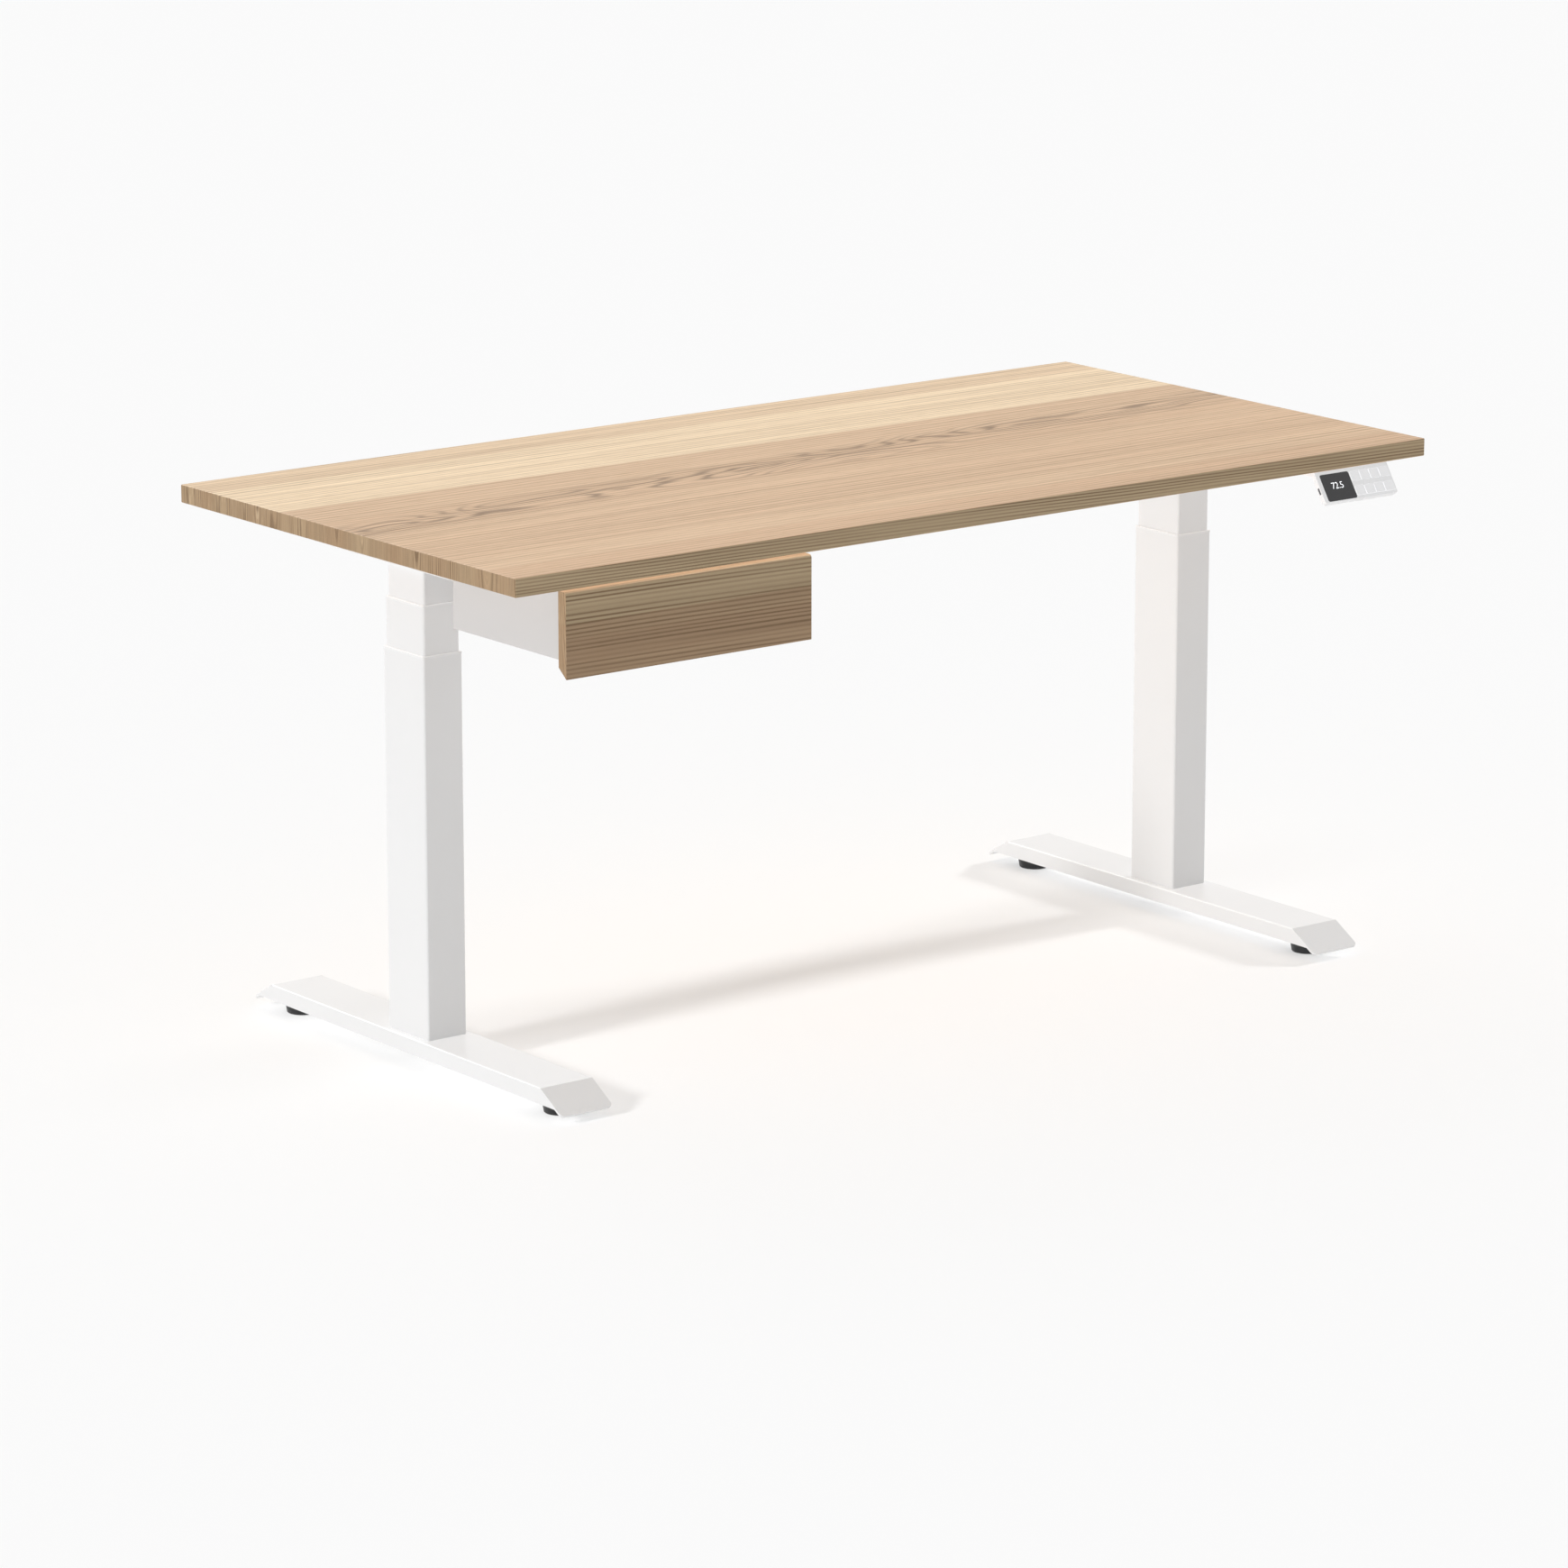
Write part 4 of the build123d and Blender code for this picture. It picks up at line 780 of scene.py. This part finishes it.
class DESK_OT_handset(bpy.types.Operator):
    """Finish the handset and draw its reading and key marks"""

    bl_idname = "desk.handset"
    bl_label = "Handset"

    def execute(self, context):
        settings = context.scene.desk_handset
        groups = shared_groups()
        shell = peel_finish(
            "handset moulding", groups, settings.shell, 0.28, 0.000003, ripple=0.0006, clouding=0.1
        )
        keys = peel_finish(
            "key moulding", groups, settings.keys, 0.38, 0.000006, ripple=0.0005, clouding=0.2
        )
        window = peel_finish(
            "smoked window", groups, settings.window, 0.12, 0.000001, ripple=0.002, clouding=0.3
        )
        dress(shell, "handset_shell", "handset_back")
        dress(keys, *[f"key_{row}_{n}" for row in ("top", "bottom") for n in range(1, 5)])
        dress(window, "handset_lens")
        self.show_reading(settings, groups)
        self.mark_keys(groups)
        return {"FINISHED"}

    def show_reading(self, settings, groups):
        """The lit digits in the window, a little left of its middle and above it."""
        across = 0.485
        up = 0.54
        # how much larger the font is than its digits
        font_share = 1.36
        lit = glowing_finish("lit digits", groups, (0.9, 0.92, 0.95), strength=0.9)
        low, high = span_on_face("handset_lens")
        middle = (low.x + (high.x - low.x) * across, low.y + (high.y - low.y) * up)
        size = settings.digit_height * font_share
        digits = lettering(settings.reading, size, middle, high.z + READING_PROUD)
        mesh_piece("display_digits", digits, "top", lit)

    def mark_keys(self, groups):
        """White marks on the keys: numbers, an arrow and a dot in each row."""
        ink = peel_finish("white ink", groups, (0.95, 0.95, 0.95), 0.5, 0.000002)
        marks = {"top": ("1", "2", "arrow up", "dot"), "bottom": ("3", "4", "arrow down", "dot")}
        for row, kinds in marks.items():
            for number, kind in enumerate(kinds, 1):
                key = f"key_{row}_{number}"
                low, high = span_on_face(key)
                middle = ((low.x + high.x) / 2, (low.y + high.y) / 2)
                proud = high.z + MARK_PROUD
                if kind.isdigit():
                    bm = lettering(kind, KEY_DIGIT_SIZE, middle, proud)
                else:
                    bm = put_on_face(self.sign(kind), middle, proud)
                mesh_piece(f"mark_{row}_{number}", bm, key, ink)

    def sign(self, kind):
        """A flat dot or arrow, as a bmesh."""
        bm = bmesh.new()
        if kind == "dot":
            bmesh.ops.create_circle(bm, cap_ends=True, segments=24, radius=DOT_RADIUS)
        else:
            bmesh.ops.create_circle(bm, cap_ends=True, segments=3, radius=ARROW_RADIUS)
            turn = Matrix.Rotation(0.0 if kind == "arrow up" else math.pi, 3, "Z")
            bmesh.ops.rotate(bm, cent=(0, 0, 0), matrix=turn, verts=bm.verts)
        bmesh.ops.recalc_face_normals(bm, faces=bm.faces)
        return bm


class DESK_OT_lift_threads(bpy.types.Operator):
    """Cut the two-start threads of the lifting screws"""

    bl_idname = "desk.lift_threads"
    bl_label = "Lift threads"

    def execute(self, context):
        settings = context.scene.desk_metal
        groups = shared_groups()
        even = (60.0, 60.0, 60.0)
        steel = metal_finish("rolled thread", groups, (0.50, 0.50, 0.51), 0.22, stretch=even)
        for side in SIDES:
            for kind in ("hollow", "drive"):
                node = f"{kind}_screw_{side}"
                bm = self.screw(node, settings, is_hollow=kind == "hollow")
                mesh_piece(f"{kind}_thread_{side}", bm, node, steel, (node,))
        return {"FINISHED"}

    def screw(self, node, settings, is_hollow):
        """A closed lifting screw, where its CAD node is. A hollow one has a bore and a flange."""
        low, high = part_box(node)
        axis = (low + high) / 2
        if is_hollow:
            top = high.z - FLANGE_THICKNESS
            bm = self.thread(axis, HOLLOW_RADIUS, low.z, top, settings)
            self.line_bore(bm, axis, (low.z, high.z, top), (HOLLOW_BORE, (high.x - low.x) / 2))
        else:
            outer = min(high.x - low.x, high.y - low.y) / 2
            bm = self.thread(axis, outer, low.z, high.z, settings)
            rims = [edge for edge in bm.edges if edge.is_boundary]
            bmesh.ops.holes_fill(bm, edges=rims, sides=0)
        bmesh.ops.remove_doubles(bm, verts=bm.verts, dist=CLOSE)
        bmesh.ops.recalc_face_normals(bm, faces=bm.faces)
        for face in bm.faces:
            face.smooth = False
        return bm

    def thread(self, axis, outer, bottom, top, settings):
        """A rolled thread, open at both ends.

        A toothed line is turned once about the axis while it climbs one lead. The end of the turn
        then lies on its start, STARTS teeth further up, so merging doubles closes it, and the spin
        itself merges nothing. The line runs past both ends, which are cut square.
        """
        root = outer - settings.thread_depth
        pitch = settings.lead / STARTS
        # one tooth: how far up the pitch each corner is, and its radius
        tooth = ((0.0, root), (0.22, root), (0.42, outer), (0.78, outer))
        bm = bmesh.new()
        profile = []
        height = bottom - settings.lead - pitch
        while height < top + pitch:
            for part, radius in tooth:
                profile.append(bm.verts.new((axis.x + radius, axis.y, height + part * pitch)))
            height += pitch
        edges = [bm.edges.new(pair) for pair in zip(profile, profile[1:])]
        bmesh.ops.spin(
            bm, geom=profile + edges, cent=(axis.x, axis.y, 0.0), axis=(0, 0, 1),
            dvec=(0, 0, settings.lead / THREAD_STEPS), angle=2.0 * math.pi, steps=THREAD_STEPS,
            use_merge=False,
        )
        bmesh.ops.remove_doubles(bm, verts=bm.verts, dist=SEAM)
        for cut, facing in ((bottom, -1), (top, 1)):
            everything = bm.verts[:] + bm.edges[:] + bm.faces[:]
            bmesh.ops.bisect_plane(
                bm, geom=everything, plane_co=(0, 0, cut), plane_no=(0, 0, facing),
                clear_outer=True, dist=CLOSE,
            )
        return bm

    def line_bore(self, bm, axis, heights, radii):
        """Closes a hollow screw: its bore, its flange, and the rings from them to the thread."""
        bottom, flange_top, flange_bottom = heights
        bore, flange = radii
        outline = (
            (bore, bottom), (bore, flange_top), (flange, flange_top), (flange, flange_bottom)
        )
        line = [bm.verts.new((axis.x + radius, axis.y, height)) for radius, height in outline]
        edges = [bm.edges.new(pair) for pair in zip(line, line[1:])]
        bmesh.ops.spin(
            bm, geom=line + edges, cent=(axis.x, axis.y, 0.0), axis=(0, 0, 1), dvec=(0, 0, 0),
            angle=2.0 * math.pi, steps=BORE_STEPS, use_merge=True,
        )
        bmesh.ops.remove_doubles(bm, verts=bm.verts, dist=CLOSE)
        open_edges = [edge for edge in bm.edges if edge.is_boundary]
        for height in (bottom, flange_bottom):
            ring = [
                edge for edge in open_edges
                if all(abs(vert.co.z - height) < SEAM for vert in edge.verts)
            ]
            bmesh.ops.triangle_fill(bm, edges=ring, use_beauty=True, normal=(0, 0, 1))


class DESK_OT_stage(bpy.types.Operator):
    """Set the floor, the lights and the camera"""

    bl_idname = "desk.stage"
    bl_label = "Stage"

    def execute(self, context):
        settings = context.scene.desk_stage
        scene = context.scene
        scene.view_settings.view_transform = "Standard"
        self.lay_floor(scene, settings)
        self.light_sky(scene, settings)
        self.hang_lights(scene, settings)
        self.place_camera(scene, settings)
        return {"FINISHED"}

    def lay_floor(self, scene, settings):
        """A wide pale floor that fills the view behind the desk."""
        half_width = 60.0
        cloud_scale = 2.0
        cloud_strength = 0.01
        bm = bmesh.new()
        bmesh.ops.create_grid(bm, x_segments=1, y_segments=1, size=half_width)
        mesh = bpy.data.meshes.new("floor")
        bm.to_mesh(mesh)
        bm.free()
        floor = bpy.data.objects.new("floor", mesh)
        scene.collection.objects.link(floor)
        material, s, shader = new_material("floor paper")
        clouds = s.times(s.noise(s.place(), cloud_scale), cloud_strength)
        paper = s.mix(clouds, (*settings.floor, 1.0), (0.85, 0.85, 0.85, 1.0))
        s.feed(shader["Base Color"], paper)
        shader["Roughness"].default_value = 1.0
        shader["Specular IOR Level"].default_value = 0.0
        mesh.materials.append(material)

    def light_sky(self, scene, settings):
        """An even white sky, brighter in reflections."""
        world = bpy.data.worlds.new("studio")
        world.use_nodes = True
        scene.world = world
        s = Shader(world.node_tree)
        background = world.node_tree.nodes["Background"]
        background.inputs["Color"].default_value = (1.0, 1.0, 1.0, 1.0)
        is_reflection = s.node("ShaderNodeLightPath").outputs["Is Glossy Ray"]
        brightness = s.band(is_reflection, 0.0, 1.0, settings.sky, settings.sky_gloss)
        s.feed(background.inputs["Strength"], brightness)

    def hang_lights(self, scene, settings):
        """A light from each end, which throws that end's leg on the floor, and one from behind."""
        # the part of the end lights' heading that goes towards the desk's back
        backwards = 0.06
        no_shadow_spread = 0.6
        rise = settings.end_rise
        ends = (("left", settings.left_light, 1.0), ("right", settings.right_light, -1.0))
        for side, strength, across in ends:
            leg = bpy.data.collections.new(f"floor shadow {side}")
            for piece in self.leg_pieces(side):
                leg.objects.link(piece)
            heading = (across * math.cos(rise), backwards, -math.sin(rise))
            light = self.far_light(scene, f"{side} light", heading, strength, settings.end_spread)
            light.light_linking.blocker_collection = leg
        heading = (0.0, -math.cos(settings.back_rise), -math.sin(settings.back_rise))
        light = self.far_light(scene, "back light", heading, settings.back_light, no_shadow_spread)
        light.data.use_shadow = False

    def leg_pieces(self, side):
        """The pieces of one leg that cast its shadow."""
        pieces = ("foot", "middle_collar", "glide_front", "glide_back")
        names = [f"{piece}_{side}" for piece in pieces]
        names += [f"{stage}_tube_{side}" for stage in ("outer", "middle", "inner")]
        return [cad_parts[name] for name in names]

    def far_light(self, scene, name, heading, strength, spread):
        """A light from far away that travels along a heading."""
        data = bpy.data.lights.new(name, "SUN")
        data.energy = strength
        data.angle = spread
        lamp = bpy.data.objects.new(name, data)
        lamp.rotation_euler = Vector(heading).to_track_quat("-Z", "Y").to_euler()
        scene.collection.objects.link(lamp)
        return lamp

    def place_camera(self, scene, settings):
        """The camera, level from side to side and without depth of field."""
        farthest = 200.0
        data = bpy.data.cameras.new("camera")
        data.lens = settings.focal_length
        data.clip_end = farthest
        camera = bpy.data.objects.new("camera", data)
        camera.location = settings.camera_place
        camera.rotation_euler = (math.pi / 2 - settings.camera_tilt, 0.0, settings.camera_turn)
        scene.collection.objects.link(camera)
        scene.camera = camera


class DESK_PT_panel(bpy.types.Panel):
    """The desk's tools in the sidebar"""

    bl_idname = "DESK_PT_panel"
    bl_label = "Desk"
    bl_space_type = "VIEW_3D"
    bl_region_type = "UI"
    bl_category = "Desk"

    def draw(self, context):
        for operator in OPERATORS:
            self.layout.operator(operator.bl_idname)
        for name in SETTINGS:
            group = getattr(context.scene, name)
            for field in group.bl_rna.properties.keys():
                if field not in {"rna_type", "name"}:
                    self.layout.prop(group, field)


SETTINGS = {
    "desk_timber": DeskTimberSettings,
    "desk_paint": DeskPaintSettings,
    "desk_metal": DeskMetalSettings,
    "desk_handset": DeskHandsetSettings,
    "desk_stage": DeskStageSettings,
}
OPERATORS = (
    DESK_OT_timber,
    DESK_OT_steelwork,
    DESK_OT_plastics,
    DESK_OT_metals,
    DESK_OT_handset,
    DESK_OT_lift_threads,
    DESK_OT_stage,
)


def register():
    """Registers the settings, the operators and the panel."""
    for name, group in SETTINGS.items():
        bpy.utils.register_class(group)
        setattr(bpy.types.Scene, name, PointerProperty(type=group))
    for operator in OPERATORS:
        bpy.utils.register_class(operator)
    bpy.utils.register_class(DESK_PT_panel)


def unregister():
    """Takes them away again."""
    bpy.utils.unregister_class(DESK_PT_panel)
    for operator in reversed(OPERATORS):
        bpy.utils.unregister_class(operator)
    for name, group in SETTINGS.items():
        delattr(bpy.types.Scene, name)
        bpy.utils.unregister_class(group)


def main():
    """Builds the desk's looks."""
    register()
    bpy.ops.desk.timber()
    bpy.ops.desk.steelwork()
    bpy.ops.desk.plastics()
    bpy.ops.desk.metals()
    bpy.ops.desk.handset()
    bpy.ops.desk.lift_threads()
    bpy.ops.desk.stage()


if __name__ == "__main__":
    main()
